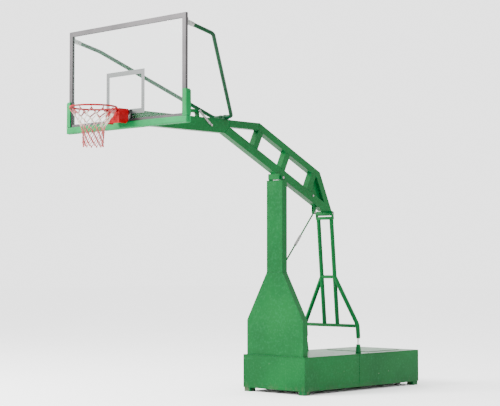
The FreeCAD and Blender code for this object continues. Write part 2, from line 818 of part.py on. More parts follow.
# Drawn in its own plane: the foot pivots at the origin, up along the frame, then leaned onto the hinge.
lean_y = d.hinge_place - d.frame_foot_place
lean_z = hinge_z - d.frame_foot_height
frame_length = call("sqrt", lean_y * lean_y + lean_z * lean_z)
frame_lean = call("atan2", lean_y, lean_z)


def in_frame(item):
    """Lean a piece of the rear frame into place about the foot pivots."""
    turn(item, (1, 0, 0), frame_lean)
    return move(item, 0, -d.frame_foot_place, d.frame_foot_height)


top_bar_top = frame_length - d.hinge_sleeve_radius - d.top_bar_gap
top_bar_bottom = top_bar_top - d.frame_bar_side
low_bar_top = d.frame_low_bar + d.frame_bar_side / 2
tube_r = float(d.frame_tube_radius)
inner_x = float(d.inner_place)
outer_x = float(d.outer_place)


def inner_tube(side, wall_thickness):
    low = V(inner_x * side, 0, float(low_bar_top))
    return straight_tube(low, V(inner_x * side, 0, float(top_bar_bottom)), tube_r, wall_thickness)


inner_tubes = Part.makeCompound([inner_tube(side, float(d.frame_tube_wall)) for side in (-1, 1)])
node("frame_inner_tubes", in_frame(solid_of("Tubes", inner_tubes)))


def leg_path(side):
    return [V(outer_x * side, 0, -float(d.leg_end_drop)), V(outer_x * side, 0, float(d.leg_bend_rise)),
            V(inner_x * side, 0, float(d.frame_mid_bar))]


def outer_leg(side):
    trunnion_hole = Part.makeCylinder(float(d.trunnion_radius + d.running_play), 4 * tube_r,
                                      V(outer_x * side - 2 * tube_r, 0, 0), V(1, 0, 0))
    leg = bent_tube(leg_path(side), [float(d.leg_bend_radius)], tube_r, float(d.frame_tube_wall))
    return leg.cut(inner_tube(side, None)).cut(trunnion_hole)


def leg_solid(side):
    path = bent_wire(leg_path(side), [float(d.leg_bend_radius)])
    circle = Part.Wire(Part.Circle(leg_path(side)[0], V(0, 0, 1), tube_r).toShape())
    return path.makePipeShell([circle], True, True)


node("frame_outer_legs", in_frame(solid_of("Legs", Part.makeCompound([outer_leg(s) for s in (-1, 1)]))))


def cross_bar(half_span, middle, *ends):
    side = float(d.frame_bar_side)
    bar = Part.makeBox(2 * half_span, side, side, V(-half_span, -side / 2, middle - side / 2))
    for end in ends:
        bar = bar.cut(end)
    return bar


low_bar = cross_bar(outer_x, float(d.frame_low_bar), leg_solid(-1), leg_solid(1))
mid_bar = cross_bar(inner_x, float(d.frame_mid_bar), inner_tube(-1, None), inner_tube(1, None))
ear_start = d.hinge_sleeve_half + d.hinge_ear_gap
ear_end = ear_start + d.hinge_ear_thickness
top_bar = cross_bar(float(ear_end), float(top_bar_bottom + d.frame_bar_side / 2))


def hinge_ear(side):
    radius = float(d.hinge_ear_radius)
    thick = float(d.hinge_ear_thickness)
    start = float(ear_start) if side > 0 else -float(ear_end)
    top = float(top_bar_top)
    stem = Part.makeBox(thick, 1.5 * radius, float(frame_length) - top, V(start, -0.75 * radius, top))
    ring = Part.makeCylinder(radius, thick, V(start, 0, float(frame_length)), V(1, 0, 0))
    hole = Part.makeCylinder(float(d.hinge_pin_radius), thick, V(start, 0, float(frame_length)), V(1, 0, 0))
    return stem.fuse(ring).removeSplitter().cut(hole)


bars = Part.makeCompound([low_bar, mid_bar, top_bar, hinge_ear(-1), hinge_ear(1)])
node("frame_crossbars", in_frame(solid_of("Bars", bars)))
pin_half = ear_end + 6
node("frame_hinge_pin", rod(d.hinge_pin_radius, (-pin_half, hinge_y, hinge_z), 2 * pin_half, "X"))

# Nuts that climb the two upright screws, with side pivots in the feet of the legs.
nuts = []
trunnion_half = d.frame_tube_radius + 2
for side in (-1, 1):
    x = d.outer_place * side
    nut_foot = (x, -d.frame_foot_place, d.frame_foot_height - d.nut_length / 2)
    barrel = rod(d.nut_radius, nut_foot, d.nut_length, "Z")
    pins = rod(d.trunnion_radius, (x - trunnion_half, -d.frame_foot_place, d.frame_foot_height),
               2 * trunnion_half, "X")
    thread = rod(d.jack_radius + d.running_play, nut_foot, d.nut_length, "Z")
    nuts.append(cut(fuse(barrel, pins), thread))
node("leg_nuts", group(*nuts))


# ---------------------------------------------------------------- tie rod between column and boom

low_pin = V(0, -float(d.anchor_place), float(d.anchor_height))
high_pin = V(0, -float(d.tie_top_place), float(d.tie_top_height))
along_tie = (high_pin - low_pin).normalize()
tie_length = (high_pin - low_pin).Length
tie_r = float(d.tie_radius)
eye_r = float(d.tie_eye_radius)
buckle_low = float(d.buckle_start)
buckle_high = float(d.buckle_end)
rod_end = buckle_low + (buckle_high - buckle_low - float(d.buckle_space)) / 2
upper_end = rod_end + float(d.buckle_space)


def on_tie(distance):
    return low_pin + along_tie * distance


def tie_half(pin, bore, near, far):
    """A rod with a round eye at its pin."""
    shank = straight_tube(on_tie(near), on_tie(far), tie_r)
    pin_hole = Part.makeCylinder(bore, float(d.tie_eye_width), V(-float(d.tie_eye_width) / 2, pin.y, pin.z),
                                 V(1, 0, 0))
    return eye(eye_r, float(d.tie_eye_width), bore, pin).fuse(shank).removeSplitter().cut(pin_hole)


low_bore = float(d.tie_pin_radius + d.running_play)
high_bore = float(d.tie_pin_radius + d.tie_pin_play)
node("tie_rod_lower", solid_of("Lower", tie_half(low_pin, low_bore, eye_r - 2, rod_end)))
node("tie_rod_upper", solid_of("Upper", tie_half(high_pin, high_bore, upper_end, tie_length - eye_r + 2)))
buckle_r = float(d.buckle_radius)
buckle = straight_tube(on_tie(buckle_low), on_tie(buckle_high), buckle_r)
buckle = buckle.cut(straight_tube(on_tie(buckle_low), on_tie(rod_end), tie_r))
buckle = buckle.cut(straight_tube(on_tie(rod_end), on_tie(buckle_high), tie_r + float(d.running_play)))
middle = on_tie((rod_end + upper_end) / 2)
bar_hole = Part.makeCylinder(float(d.hub_radius) / 2, 4 * buckle_r,
                             V(-2 * buckle_r, middle.y, middle.z), V(1, 0, 0))
node("turnbuckle", solid_of("Turnbuckle", buckle.cut(bar_hole)))

lug_inner = d.tie_eye_width / 2 + d.tie_lug_gap
lug_outer = lug_inner + d.tie_lug_thickness
lug_middle = (lug_inner + lug_outer) / 2


def lug_pair(outline, y, z, *extra):
    """Two plates beside an eye, with a round end about the pin, and the pin between them."""
    cheeks = []
    for side in (-1, 1):
        start = lug_inner if side > 0 else -lug_outer
        disc = rod(d.tie_lug_radius, (start, y, z), d.tie_lug_thickness, "X")
        cheeks.append(fuse(plate("YZ_Plane", outline, d.tie_lug_thickness, lug_middle * side), disc))
    body = fuse(*cheeks, *extra) if extra else group(*cheeks)
    return cut(body, rod(d.tie_pin_radius, (-lug_outer, y, z), 2 * lug_outer, "X"))


def headed_pin(radius, half, y, z):
    """A cross pin with a hexagon head at each end."""
    heads = []
    for start in (half, -half - d.link_head_height):
        head = doc.addObject("Part::Prism", "Head")
        head.setExpression("Circumradius", words(radius + 6))
        head.setExpression("Height", words(d.link_head_height))
        turn(head, (0, 1, 0), 90)
        heads.append(move(head, start, y, z))
    return fuse(rod(radius, (-half, y, z), 2 * half, "X"), *heads)


column_back = d.column_depth - d.column_front
anchor_face = column_back + d.cap_thickness
lug_reach = d.tie_lug_radius
anchor_outline = [(anchor_face, d.anchor_height - lug_reach), (-d.anchor_place, d.anchor_height - lug_reach),
                  (-d.anchor_place, d.anchor_height + lug_reach), (anchor_face, d.anchor_height + lug_reach)]
anchor_plate = block((-lug_outer - 13, lug_outer + 13), (column_back, anchor_face),
                     (d.anchor_height - 35, d.anchor_height + 35))
node("tie_anchor", lug_pair(anchor_outline, -d.anchor_place, d.anchor_height, anchor_plate))
anchor_pin = headed_pin(d.tie_pin_radius, lug_outer, -d.anchor_place, d.anchor_height)
node("pivot_pins", group(pivot_pin, anchor_pin))

# The upper lugs hang from a small plate under the lower chord.
tie_y = -d.tie_top_place
plate_drop = d.cap_thickness / steep
lug_top = (knee_y, lower_bottom[1] - plate_drop, -slope)
lug_outline = [(tie_y - lug_reach, d.tie_top_height), (tie_y + lug_reach, d.tie_top_height),
               (tie_y + lug_reach, height_on(lug_top, tie_y + lug_reach)),
               (tie_y - lug_reach, height_on(lug_top, tie_y - lug_reach))]
seat_outline = [(tie_y - 35, height_on(lug_top, tie_y - 35)), (tie_y + 35, height_on(lug_top, tie_y + 35)),
                (tie_y + 35, height_on(lower_bottom, tie_y + 35)),
                (tie_y - 35, height_on(lower_bottom, tie_y - 35))]
seat = plate("YZ_Plane", seat_outline, 2 * lug_outer + 20)
node("tie_lug", lug_pair(lug_outline, tie_y, d.tie_top_height, seat))
tie_pin = headed_pin(d.tie_pin_radius, lug_outer, tie_y, d.tie_top_height)
rear_bolt = headed_pin(d.link_bolt_radius, half_boom, -d.rear_bolt_place, rear_bolt_z)


# ---------------------------------------------------------------- levelling bracket and its links

level_bottom = d.boom_top + d.level_rise
level_top = level_bottom + d.level_bar
level_x = (-d.level_width / 2, d.level_width / 2)
link_pin_z = level_bottom + d.level_bar / 2
pieces = [block(level_x, (-d.level_front, -d.level_rear), (level_bottom, level_top)),
          block(level_x, (-d.level_front, d.level_leg - d.level_front), (d.boom_top, level_bottom)),
          block(level_x, (-d.level_rear - d.level_leg, -d.level_rear), (d.boom_top, level_bottom))]
link_pin_hole = rod(d.link_bolt_radius, (level_x[0], -d.link_pin_place, link_pin_z), d.level_width, "X")
node("levelling_bracket", cut(fuse(*pieces), link_pin_hole))
link_low = (-d.link_bolt_place, bolt_z)
link_high = (-d.link_pin_place, link_pin_z)
run_y = link_high[0] - link_low[0]
run_z = link_high[1] - link_low[1]
run = call("sqrt", run_y * run_y + run_z * run_z)
off_y = run_z / run * d.link_width / 2
off_z = -run_y / run * d.link_width / 2
link_outline = [(link_low[0] - off_y, link_low[1] - off_z), (link_low[0] + off_y, link_low[1] + off_z),
                (link_high[0] + off_y, link_high[1] + off_z), (link_high[0] - off_y, link_high[1] - off_z)]
link_inner = half_boom + d.link_gap
links = []
for side in (-1, 1):
    start = link_inner if side > 0 else -link_inner - d.link_thickness
    ends = [rod(d.link_width / 2, (start, y, z), d.link_thickness, "X") for y, z in (link_low, link_high)]
    holes = [rod(d.link_bolt_radius, (start, y, z), d.link_thickness, "X") for y, z in (link_low, link_high)]
    strap = plate("YZ_Plane", link_outline, d.link_thickness, (link_inner + d.link_thickness / 2) * side)
    links.append(cut(fuse(strap, *ends), *holes))
node("levelling_links", group(*links))
link_half = link_inner + d.link_thickness
node("boom_bolts", group(tie_pin, rear_bolt, headed_pin(d.link_bolt_radius, link_half, *link_low),
                         headed_pin(d.link_bolt_radius, link_half, *link_high)))


# ---------------------------------------------------------------- backboard

front = -d.board_face
frame_back = front + d.frame_depth
half_board = d.board_width / 2
board_top = d.board_bottom + d.board_height
glass_front = front + d.glass_inset
glass_back = glass_front + d.glass_thickness
glass_x = half_board - d.rail_width + d.glass_bite
glass_low = d.board_bottom + d.rail_width - d.glass_bite
glass_high = board_top - d.rail_width + d.glass_bite
bolt_middle = d.plate_bottom + d.plate_height / 2


def rim_bolt_places():
    for side in (-1, 1):
        for row in (-1, 1):
            yield d.bolt_span_across / 2 * side, bolt_middle + d.bolt_span_up / 2 * row


def rim_holes(radius, start, end):
    return [rod(radius, (x, start, z), end - start, "Y") for x, z in rim_bolt_places()]


glass = block((-glass_x, glass_x), (glass_front, glass_back), (glass_low, glass_high))
node("glass_pane", cut(glass, *rim_holes(d.bolt_radius + 3, glass_front, glass_back)))
groove = ((-glass_x - d.glass_play, glass_x + d.glass_play), (glass_front, glass_back),
          (glass_low - d.glass_play, glass_high + d.glass_play))
rails = []
for low in (d.board_bottom, board_top - d.rail_width):
    rails.append(cut(block((-half_board, half_board), (front, frame_back), (low, low + d.rail_width)),
                     block(*groove)))
stiles = []
for start in (-half_board, half_board - d.rail_width):
    stiles.append(cut(block((start, start + d.rail_width), (front, frame_back),
                            (d.board_bottom + d.rail_width, board_top - d.rail_width)), block(*groove)))
node("board_frame", group(*rails, *stiles))

bracket_back = frame_back + d.bracket_thickness
bracket = block((-d.bracket_width / 2, d.bracket_width / 2), (frame_back, bracket_back),
                (d.board_bottom, d.boom_top))
gusset_reach = d.bracket_width / 2 - half_boom
gussets = []
for side in (-1, 1):
    base = half_boom * side
    gusset_outline = [(base, bracket_back), ((half_boom + gusset_reach * 0.9) * side, bracket_back),
                      (base, bracket_back + 170)]
    gussets.append(plate("XY_Plane", gusset_outline, d.bracket_thickness, (beam_bottom + d.boom_top) / 2))
node("board_bracket", group(cut(bracket, *rim_holes(d.bolt_radius, frame_back, bracket_back)), *gussets))

# Rubber in front of and behind the glass, the rim plate and its four bolts.
plate_back = glass_front - d.gasket_thickness
plate_front = plate_back - d.plate_thickness
plate_half = d.plate_width / 2
plate_z = (d.plate_bottom, d.plate_bottom + d.plate_height)
gasket = block((-plate_half, plate_half), (plate_back, glass_front), plate_z)
spacer = block((-plate_half, plate_half), (glass_back, frame_back), plate_z)
node("rim_gaskets", group(cut(gasket, *rim_holes(d.bolt_radius, plate_back, glass_front)),
                          cut(spacer, *rim_holes(d.bolt_radius, glass_back, frame_back))))
hinge_front_y = front - d.rim_axis_out
cheek_inner = d.barrel_half + d.cheek_gap
cheeks = []
for side in (-1, 1):
    middle = (cheek_inner + d.cheek_thickness / 2) * side
    cheeks.append(block(about(middle, d.cheek_thickness), (hinge_front_y - 14, plate_front),
                        (d.rim_axis_height - 14, d.rim_axis_height + 45)))
cheek_outer = cheek_inner + d.cheek_thickness
rim_pin_hole = rod(d.rim_pin_radius, (-cheek_outer, hinge_front_y, d.rim_axis_height), 2 * cheek_outer, "X")
back_plate = block((-plate_half, plate_half), (plate_front, plate_back), plate_z)
node("rim_plate", cut(fuse(back_plate, *cheeks), rim_pin_hole,
                      *rim_holes(d.bolt_radius, plate_front, plate_back)))
rim_pin = rod(d.rim_pin_radius, (-cheek_outer - 4, hinge_front_y, d.rim_axis_height), 2 * cheek_outer + 8,
              "X")


def hexagon(x, start, z, height):
    """A bolt head or nut whose axis runs along Y."""
    nut = doc.addObject("Part::Prism", "Nut")
    nut.setExpression("Circumradius", words(d.bolt_radius + 4))
    nut.Height = height
    turn(nut, (1, 0, 0), -90)
    return move(nut, x, start, z)


bolts = []
for x, z in rim_bolt_places():
    shank = rod(d.bolt_radius, (x, plate_front, z), bracket_back - plate_front, "Y")
    bolts.append(fuse(shank, hexagon(x, plate_front - 1.5, z, 1.5), hexagon(x, bracket_back, z, 7)))


# ---------------------------------------------------------------- breakaway ring

sheet_gap = 2
mover_back = plate_front - sheet_gap
mover_front = mover_back - d.plate_thickness
mover_half = d.barrel_half - 2
axis_z = d.rim_axis_height
mover = block((-mover_half, mover_half), (mover_front, mover_back), (axis_z + 15, d.cover_top - d.cover_wall))
web = block((-mover_half, mover_half), (mover_front - 6, mover_back), (axis_z + 4, axis_z + 24))
barrel = rod(d.barrel_radius, (-d.barrel_half, hinge_front_y, axis_z), 2 * d.barrel_half, "X")
bore = rod(d.rim_pin_radius + d.running_play, (-d.barrel_half, hinge_front_y, axis_z), 2 * d.barrel_half, "X")
slots = [block(about(d.spring_place * side, d.slot_width), (mover_front, mover_back),
               about(d.spring_height, d.slot_height)) for side in (-1, 1)]

ring_centre_y = front - d.ring_gap - d.ring_inner
ring_radius = d.ring_inner + d.ring_bar
ring_z = d.rim_height - d.ring_bar
ring_solid = doc.addObject("Part::Torus", "RingBar")
ring_solid.setExpression("Radius1", words(ring_radius))
ring_solid.setExpression("Radius2", words(d.ring_bar))
move(ring_solid, 0, ring_centre_y, ring_z)
arm_top = d.cover_top - d.cover_wall
arm_end = ring_centre_y + call("sqrt", ring_radius * ring_radius - d.arm_place * d.arm_place)
arm_outline = [(mover_front, arm_top), (mover_front, axis_z + 24), (mover_front - 60, axis_z + 24),
               (arm_end, d.rim_height - 2 * d.ring_bar - 8), (arm_end, arm_top)]
arms = [cut(plate("YZ_Plane", arm_outline, d.arm_thickness, d.arm_place * side), ring_solid)
        for side in (-1, 1)]
bracket_body = cut(fuse(mover, web, barrel), bore, *slots)
node("ring_bracket", fuse(bracket_body, *arms))

hook_loops = []
for number in range(int(float(d.hook_count))):
    angle = (number + 0.5) * 360 / float(d.hook_count)
    loop = doc.addObject("Part::Torus", "Hook")
    loop.setExpression("Radius1", words(d.hook_radius))
    loop.setExpression("Radius2", words(d.hook_wire))
    turn(loop, (math.cos(math.radians(angle)), math.sin(math.radians(angle)), 0), 90)
    move(loop, ring_radius * math.cos(math.radians(angle)),
         ring_centre_y + ring_radius * math.sin(math.radians(angle)), ring_z - d.ring_bar - d.hook_radius / 2)
    hook_loops.append(cut(loop, ring_solid))
node("rim_ring", ring_solid)
node("net_hooks", group(*hook_loops))

cover_low = d.cover_top - d.cover_height
cover_y = (front - d.cover_front, front - d.cover_back)
shell_outline = [(cover_y[0], cover_low), (cover_y[1] - 26, cover_low), (cover_y[1], cover_low + 33),
                 (cover_y[1], d.cover_top), (cover_y[0], d.cover_top)]
inside_outline = [(cover_y[0] + d.cover_wall, cover_low - 5), (cover_y[1] + 5, cover_low - 5),
                  (cover_y[1] + 5, d.cover_top - d.cover_wall),
                  (cover_y[0] + d.cover_wall, d.cover_top - d.cover_wall)]
cover = cut(plate("YZ_Plane", shell_outline, d.cover_width),
            plate("YZ_Plane", inside_outline, d.cover_width - 2 * d.cover_wall),
            *[plate("YZ_Plane", arm_outline, d.arm_thickness, d.arm_place * side) for side in (-1, 1)])
node("spring_cover", cover)

springs = []
spring_bolts = []
spring_end = mover_front - d.spring_length
for side in (-1, 1):
    x = d.spring_place * side
    coil_foot = (x, spring_end, d.spring_height)
    springs.append(cut(rod(d.spring_radius, coil_foot, d.spring_length, "Y"),
                       rod(d.spring_radius - d.spring_wire, coil_foot, d.spring_length, "Y")))
    shank = rod(d.bolt_radius, (x, spring_end - 12, d.spring_height), plate_front - spring_end + 12, "Y")
    washer = rod(d.washer_radius, (x, spring_end - d.washer_thickness, d.spring_height),
                 d.washer_thickness, "Y")
    nut = hexagon(x, spring_end - d.washer_thickness - 7, d.spring_height, 7)
    spring_bolts.append(fuse(shank, washer, nut))
node("rim_springs", group(*springs))
node("rim_bolts", group(*bolts, *spring_bolts, rim_pin))

# The net as a thin tapered sleeve just under the hooks.
net_top = ring_z - d.ring_bar - d.hook_radius * 1.5 - d.hook_wire - 0.3


def funnel(low_radius, high_radius, low, height):
    cone = doc.addObject("Part::Cone", "Funnel")
    cone.setExpression("Radius1", words(low_radius))
    cone.setExpression("Radius2", words(high_radius))
    cone.setExpression("Height", words(height))
    return move(cone, 0, ring_centre_y, low)


net_skins = []
waist_z = net_top - d.net_taper_length
for inward in (0.0, d.net_wall):
    upper = funnel(d.net_waist_radius - inward, d.net_top_radius - inward, waist_z, d.net_taper_length)
    tail = funnel(d.net_low_radius - inward, d.net_waist_radius - inward, waist_z - d.net_tail_length,
                  d.net_tail_length)
    net_skins.append(fuse(upper, tail))
node("net", cut(*net_skins))


# ---------------------------------------------------------------- padding

pad_front = front - d.pad_face
pad_back = frame_back + d.pad_face
pad_x = half_board + d.pad_beside
pad_low = d.board_bottom - d.pad_below
pad_high = d.board_bottom + d.pad_bottom_cover
channel_space = ((-half_board - d.pad_play, half_board + d.pad_play),
                 (front - d.pad_play, frame_back + d.pad_play), (d.board_bottom - d.pad_play, board_top))
around = block(*channel_space)
notch = block((-d.bracket_width / 2 - 2, d.bracket_width / 2 + 2), (frame_back, pad_back),
              (d.board_bottom - 2, pad_high))
node("pad_bottom", cut(block((-pad_x, pad_x), (pad_front, pad_back), (pad_low, pad_high)), around, notch))
pad_gap = 0.6
pad_start = half_board - d.pad_side_cover
pad_end = d.board_bottom + d.pad_side_height
bevel = 22
for side, side_name in ((-1, "left"), (1, "right")):
    outline = [(pad_start * side, pad_high + pad_gap), (pad_x * side, pad_high + pad_gap),
               (pad_x * side, pad_end - bevel), ((pad_x - bevel) * side, pad_end),
               (pad_start * side, pad_end)]
    pad = plate("XZ_Plane", outline, pad_back - pad_front, (pad_back + pad_front) / 2)
    node(f"pad_side_{side_name}", cut(pad, block(*channel_space)))


# ---------------------------------------------------------------- stays from the board to the beam

stay_face = float(bracket_back)
stay_end_x = float(half_board - d.rail_width / 2)
stay_z = float(d.boom_top + d.saddle_height) - 8 + float(d.stay_radius)
stay_r = float(d.stay_radius)


def stay_points(side):
    return [V(stay_end_x * side, stay_face, float(d.stay_end_height)),
            V(stay_end_x * side, -float(d.stay_bend_place), float(d.stay_bend_height)),
            V(float(d.stay_foot_side) * side, -float(d.stay_foot_place), stay_z),
            V(float(d.stay_foot_gap) * side, -float(d.stay_foot_place), stay_z)]


def behind_plate(shape):
    """Square off whatever reaches forward of the clamp plates."""
    return shape.cut(Part.makeBox(4000, 100, 400, V(-2000, stay_face - 100, float(d.stay_end_height) - 200)))


def stay(side):
    points = stay_points(side)
    points[0] = points[0] - (points[1] - points[0]).normalize() * 12
    radii = [float(d.stay_upper_radius), float(d.stay_lower_radius)]
    return behind_plate(bent_tube(points, radii, stay_r, float(d.stay_wall)))


for side, side_name in ((-1, "left"), (1, "right")):
    node(f"stay_{side_name}", solid_of("Stay", stay(side)))


def stay_socket(side):
    points = stay_points(side)
    way = (points[1] - points[0]).normalize()
    start = points[0] - way * 12
    outer = Part.makeCylinder(stay_r + float(d.clamp_wall), float(d.clamp_length) + 12, start, way)
    core = Part.makeCylinder(stay_r, float(d.clamp_length) + 12, start, way)
    foot = Part.makeBox(float(d.clamp_side), float(d.clamp_plate), float(d.clamp_rise),
                        V(points[0].x - float(d.clamp_side) / 2, stay_face - float(d.clamp_plate),
                          points[0].z - float(d.clamp_rise) / 2))
    return behind_plate(outer.cut(core)).fuse(foot).removeSplitter()


node("stay_clamps", solid_of("Clamps", Part.makeCompound([stay_socket(s) for s in (-1, 1)])))


def saddle():
    """A grooved block on the beam and two straps over the ends of the stays."""
    half = float(d.saddle_half)
    deep = float(d.saddle_depth)
    low = float(d.boom_top)
    top = low + float(d.saddle_height)
    y = -float(d.stay_foot_place)
    tube = Part.makeCylinder(stay_r, 4 * half, V(-2 * half, y, stay_z), V(1, 0, 0))
    base = Part.makeBox(2 * half, deep, top - low, V(-half, y - deep / 2, low)).cut(tube)
    parts = [base]
    for side in (-1, 1):
        x = half * 0.55 * side - 12
        arch = Part.makeCylinder(stay_r + 4, 24, V(x, y, stay_z), V(1, 0, 0))
        flange = Part.makeBox(24, deep, 5, V(x, y - deep / 2, top))
        below = Part.makeBox(24, deep, stay_r + 8, V(x, y - deep / 2, top - stay_r - 8))
        parts.append(arch.fuse(flange).removeSplitter().cut(tube).cut(below))
    return Part.makeCompound(parts)


node("stay_saddle", solid_of("Saddle", saddle()))


# ---------------------------------------------------------------- checks and export

doc.recompute()
for item in doc.Objects:
    if "Invalid" in item.State or "Error" in item.State:
        raise ValueError(f"{item.Label} did not recompute: {item.State}")
os.makedirs("parts", exist_ok=True)
for item in nodes:
    if item.Shape.isNull() or not item.Shape.isValid():
        raise ValueError(f"{item.Label} has a bad shape")
    item.Shape.exportStep(f"parts/{item.Label}.step")
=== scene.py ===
import math

import bmesh
import bpy
from mathutils import Euler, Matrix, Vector


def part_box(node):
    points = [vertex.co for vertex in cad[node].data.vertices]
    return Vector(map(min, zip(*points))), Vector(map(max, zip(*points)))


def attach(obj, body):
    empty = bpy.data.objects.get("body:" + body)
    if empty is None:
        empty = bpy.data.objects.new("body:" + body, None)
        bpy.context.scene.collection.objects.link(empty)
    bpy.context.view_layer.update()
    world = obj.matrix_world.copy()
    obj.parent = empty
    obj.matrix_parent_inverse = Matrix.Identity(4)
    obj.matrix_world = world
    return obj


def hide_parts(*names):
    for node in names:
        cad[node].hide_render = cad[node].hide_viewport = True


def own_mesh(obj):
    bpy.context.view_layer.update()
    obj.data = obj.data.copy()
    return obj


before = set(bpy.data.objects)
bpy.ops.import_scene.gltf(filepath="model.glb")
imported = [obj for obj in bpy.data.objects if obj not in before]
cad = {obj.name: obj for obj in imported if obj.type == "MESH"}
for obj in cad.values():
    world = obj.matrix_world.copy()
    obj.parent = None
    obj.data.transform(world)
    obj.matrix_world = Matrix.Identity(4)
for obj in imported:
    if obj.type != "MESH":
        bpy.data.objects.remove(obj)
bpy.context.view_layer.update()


# ------------------------------------------------------------------ base box
# A ballast box folded from sheet steel, welded at its corners and closed by a flat lid with a
# bolted cover. It is sprayed with green enamel over primer, which shows through where it is knocked.

class Wire:
    """One output of a node. Arithmetic on it adds Math nodes, and make() adds any other node."""

    def __init__(self, tree, socket=None):
        self.tree = tree
        self.socket = socket

    def make(self, kind, settings=None, inputs=None, output=0):
        node = self.tree.nodes.new(kind)
        for name, value in (settings or {}).items():
            setattr(node, name, value)
        for name, value in (inputs or {}).items():
            if isinstance(value, Wire):
                self.tree.links.new(value.socket, node.inputs[name])
            else:
                node.inputs[name].default_value = value
        return Wire(self.tree, node.outputs[output])

    def maths(self, operation, *values):
        """A Math node on the values given."""
        return self.make("ShaderNodeMath", {"operation": operation}, dict(enumerate(values)))

    def through(self, operation):
        """This value through a Math node of one input."""
        return self.maths(operation, self)

    def __add__(self, other):
        return self.maths("ADD", self, other)

    def __sub__(self, other):
        return self.maths("SUBTRACT", self, other)

    def __rsub__(self, other):
        return self.maths("SUBTRACT", other, self)

    def __mul__(self, other):
        return self.maths("MULTIPLY", self, other)

    def __truediv__(self, other):
        return self.maths("DIVIDE", self, other)

    __radd__ = __add__
    __rmul__ = __mul__

    def ramp(self, low, high):
        """0 at low, 1 at high, smooth between."""
        return self.make("ShaderNodeMapRange", {"interpolation_type": "SMOOTHSTEP"},
                         {"Value": self, "From Min": low, "From Max": high})

    def blend(self, below, above):
        """A colour between two others, with this value as the share of the second."""
        return self.make("ShaderNodeMix", {"data_type": "RGBA"}, {0: self, 6: below, 7: above}, 2)

    def place(self):
        return self.make("ShaderNodeTexCoord", output="Object")

    def axis(self, name):
        return self.make("ShaderNodeSeparateXYZ", {}, {0: self.place()}, name)

    def noise(self, scale, detail=3.0, stretch=(1, 1, 1)):
        where = self.make("ShaderNodeMapping", {}, {"Vector": self.place(), "Scale": stretch})
        return self.make("ShaderNodeTexNoise", {}, {"Vector": where, "Scale": scale, "Detail": detail})

    def bump(self, height, distance):
        return self.make("ShaderNodeBump", {}, {"Height": height, "Distance": distance})


def tint(red, green, blue):
    """A colour from the values of a paint chart, 0 to 255."""
    parts = [c / 255 for c in (red, green, blue)]
    return (*[c / 12.92 if c < 0.04 else ((c + 0.055) / 1.055) ** 2.4 for c in parts], 1.0)


def finish(name, varying, **even):
    """A material: even values sit on the shader's own sockets, varying ones come from nodes."""
    material = bpy.data.materials.new(name)
    material.use_nodes = True
    shader = material.node_tree.nodes["Principled BSDF"]
    for socket, value in even.items():
        shader.inputs[socket.replace("_", " ")].default_value = value
    for socket, wire in varying(Wire(material.node_tree)).items():
        material.node_tree.links.new(wire.socket, shader.inputs[socket])
    return material


def coat(material, *names):
    """Put a material in the slots of CAD nodes."""
    for name in names:
        slots = cad[name].data.materials
        slots.clear()
        slots.append(material)


def enamel(body_tint, shade_tint, chip_tint, dirt=0.0, wave=0.0):
    """Sprayed paint: slow drift of colour, orange peel, thin dirt low down and small chips."""
    def varying(at):
        drift = at.noise(1.7, 4.0).ramp(0.32, 0.7)
        fleck = at.noise(46.0, 2.0)
        smear = at.noise(19.0, 7.0, (1, 1, 0.5))
        chip = at.noise(23.0, 9.0).ramp(0.7, 0.72) * (1 - at.axis("Z").ramp(0.15, 0.4))
        colour = drift.blend(shade_tint, body_tint)
        colour = (fleck.ramp(0.45, 0.8) * 0.12).blend(colour, tint(40, 128, 84))
        low = (1 - at.axis("Z").ramp(0.03, 0.13)) * smear.ramp(0.46, 0.66) * dirt
        colour = low.blend(colour, tint(72, 70, 56))
        colour = (chip * 0.8).blend(colour, chip_tint)
        peel = at.noise(310.0, 2.0) * 0.5 + at.noise(1.9, 2.0) * wave
        return {"Base Color": colour, "Roughness": 0.24 + smear * 0.2 + low * 0.3 + chip * 0.25,
                "Normal": at.bump(peel - chip * 0.6, 0.0006)}
    return varying


primer_grey = tint(98, 96, 88)
deep_green = tint(0, 62, 24)
leaf_green = tint(0, 74, 30)
panel_paint = finish("green_enamel_on_panels", enamel(leaf_green, deep_green, primer_grey, 0.25, 9.0),
                     Specular_IOR_Level=0.08)
coat(panel_paint, "base_shell", "base_lid", "column_housing", "column_post", "pivot_yoke", "tie_anchor")


def grow(name, mesh, sizes, lay_out, material):
    """Run a tree of geometry nodes over a mesh, and keep what it makes as one plain mesh."""
    group = bpy.data.node_groups.new(name, "GeometryNodeTree")
    group.interface.new_socket("Geometry", in_out="OUTPUT", socket_type="NodeSocketGeometry")
    group.interface.new_socket("Geometry", in_out="INPUT", socket_type="NodeSocketGeometry")
    known = {}
    for label, value in sizes.items():
        kind = "NodeSocketInt" if isinstance(value, int) else "NodeSocketFloat"
        known[label] = group.interface.new_socket(label, in_out="INPUT", socket_type=kind).identifier
    way_in = group.nodes.new("NodeGroupInput")
    way_out = group.nodes.new("NodeGroupOutput")
    at = Wire(group)
    shape = lay_out(at, {s.name: Wire(group, s) for s in way_in.outputs if s.name})
    solid = at.make("GeometryNodeRealizeInstances", {}, {"Geometry": shape})
    done = at.make("GeometryNodeSetMaterial", {}, {"Geometry": solid, "Material": material})
    group.links.new(done.socket, way_out.inputs[0])
    piece = bpy.data.objects.new(name, mesh)
    bpy.context.scene.collection.objects.link(piece)
    modifier = piece.modifiers.new("shape", "NODES")
    modifier.node_group = group
    for label, value in sizes.items():
        modifier[known[label]] = value
    bpy.context.view_layer.update()
    seen = piece.evaluated_get(bpy.context.evaluated_depsgraph_get())
    result = bpy.data.meshes.new_from_object(seen)
    piece.modifiers.remove(modifier)
    piece.data = result
    if not result.materials:
        result.materials.append(material)
    result.shade_smooth()
    return piece


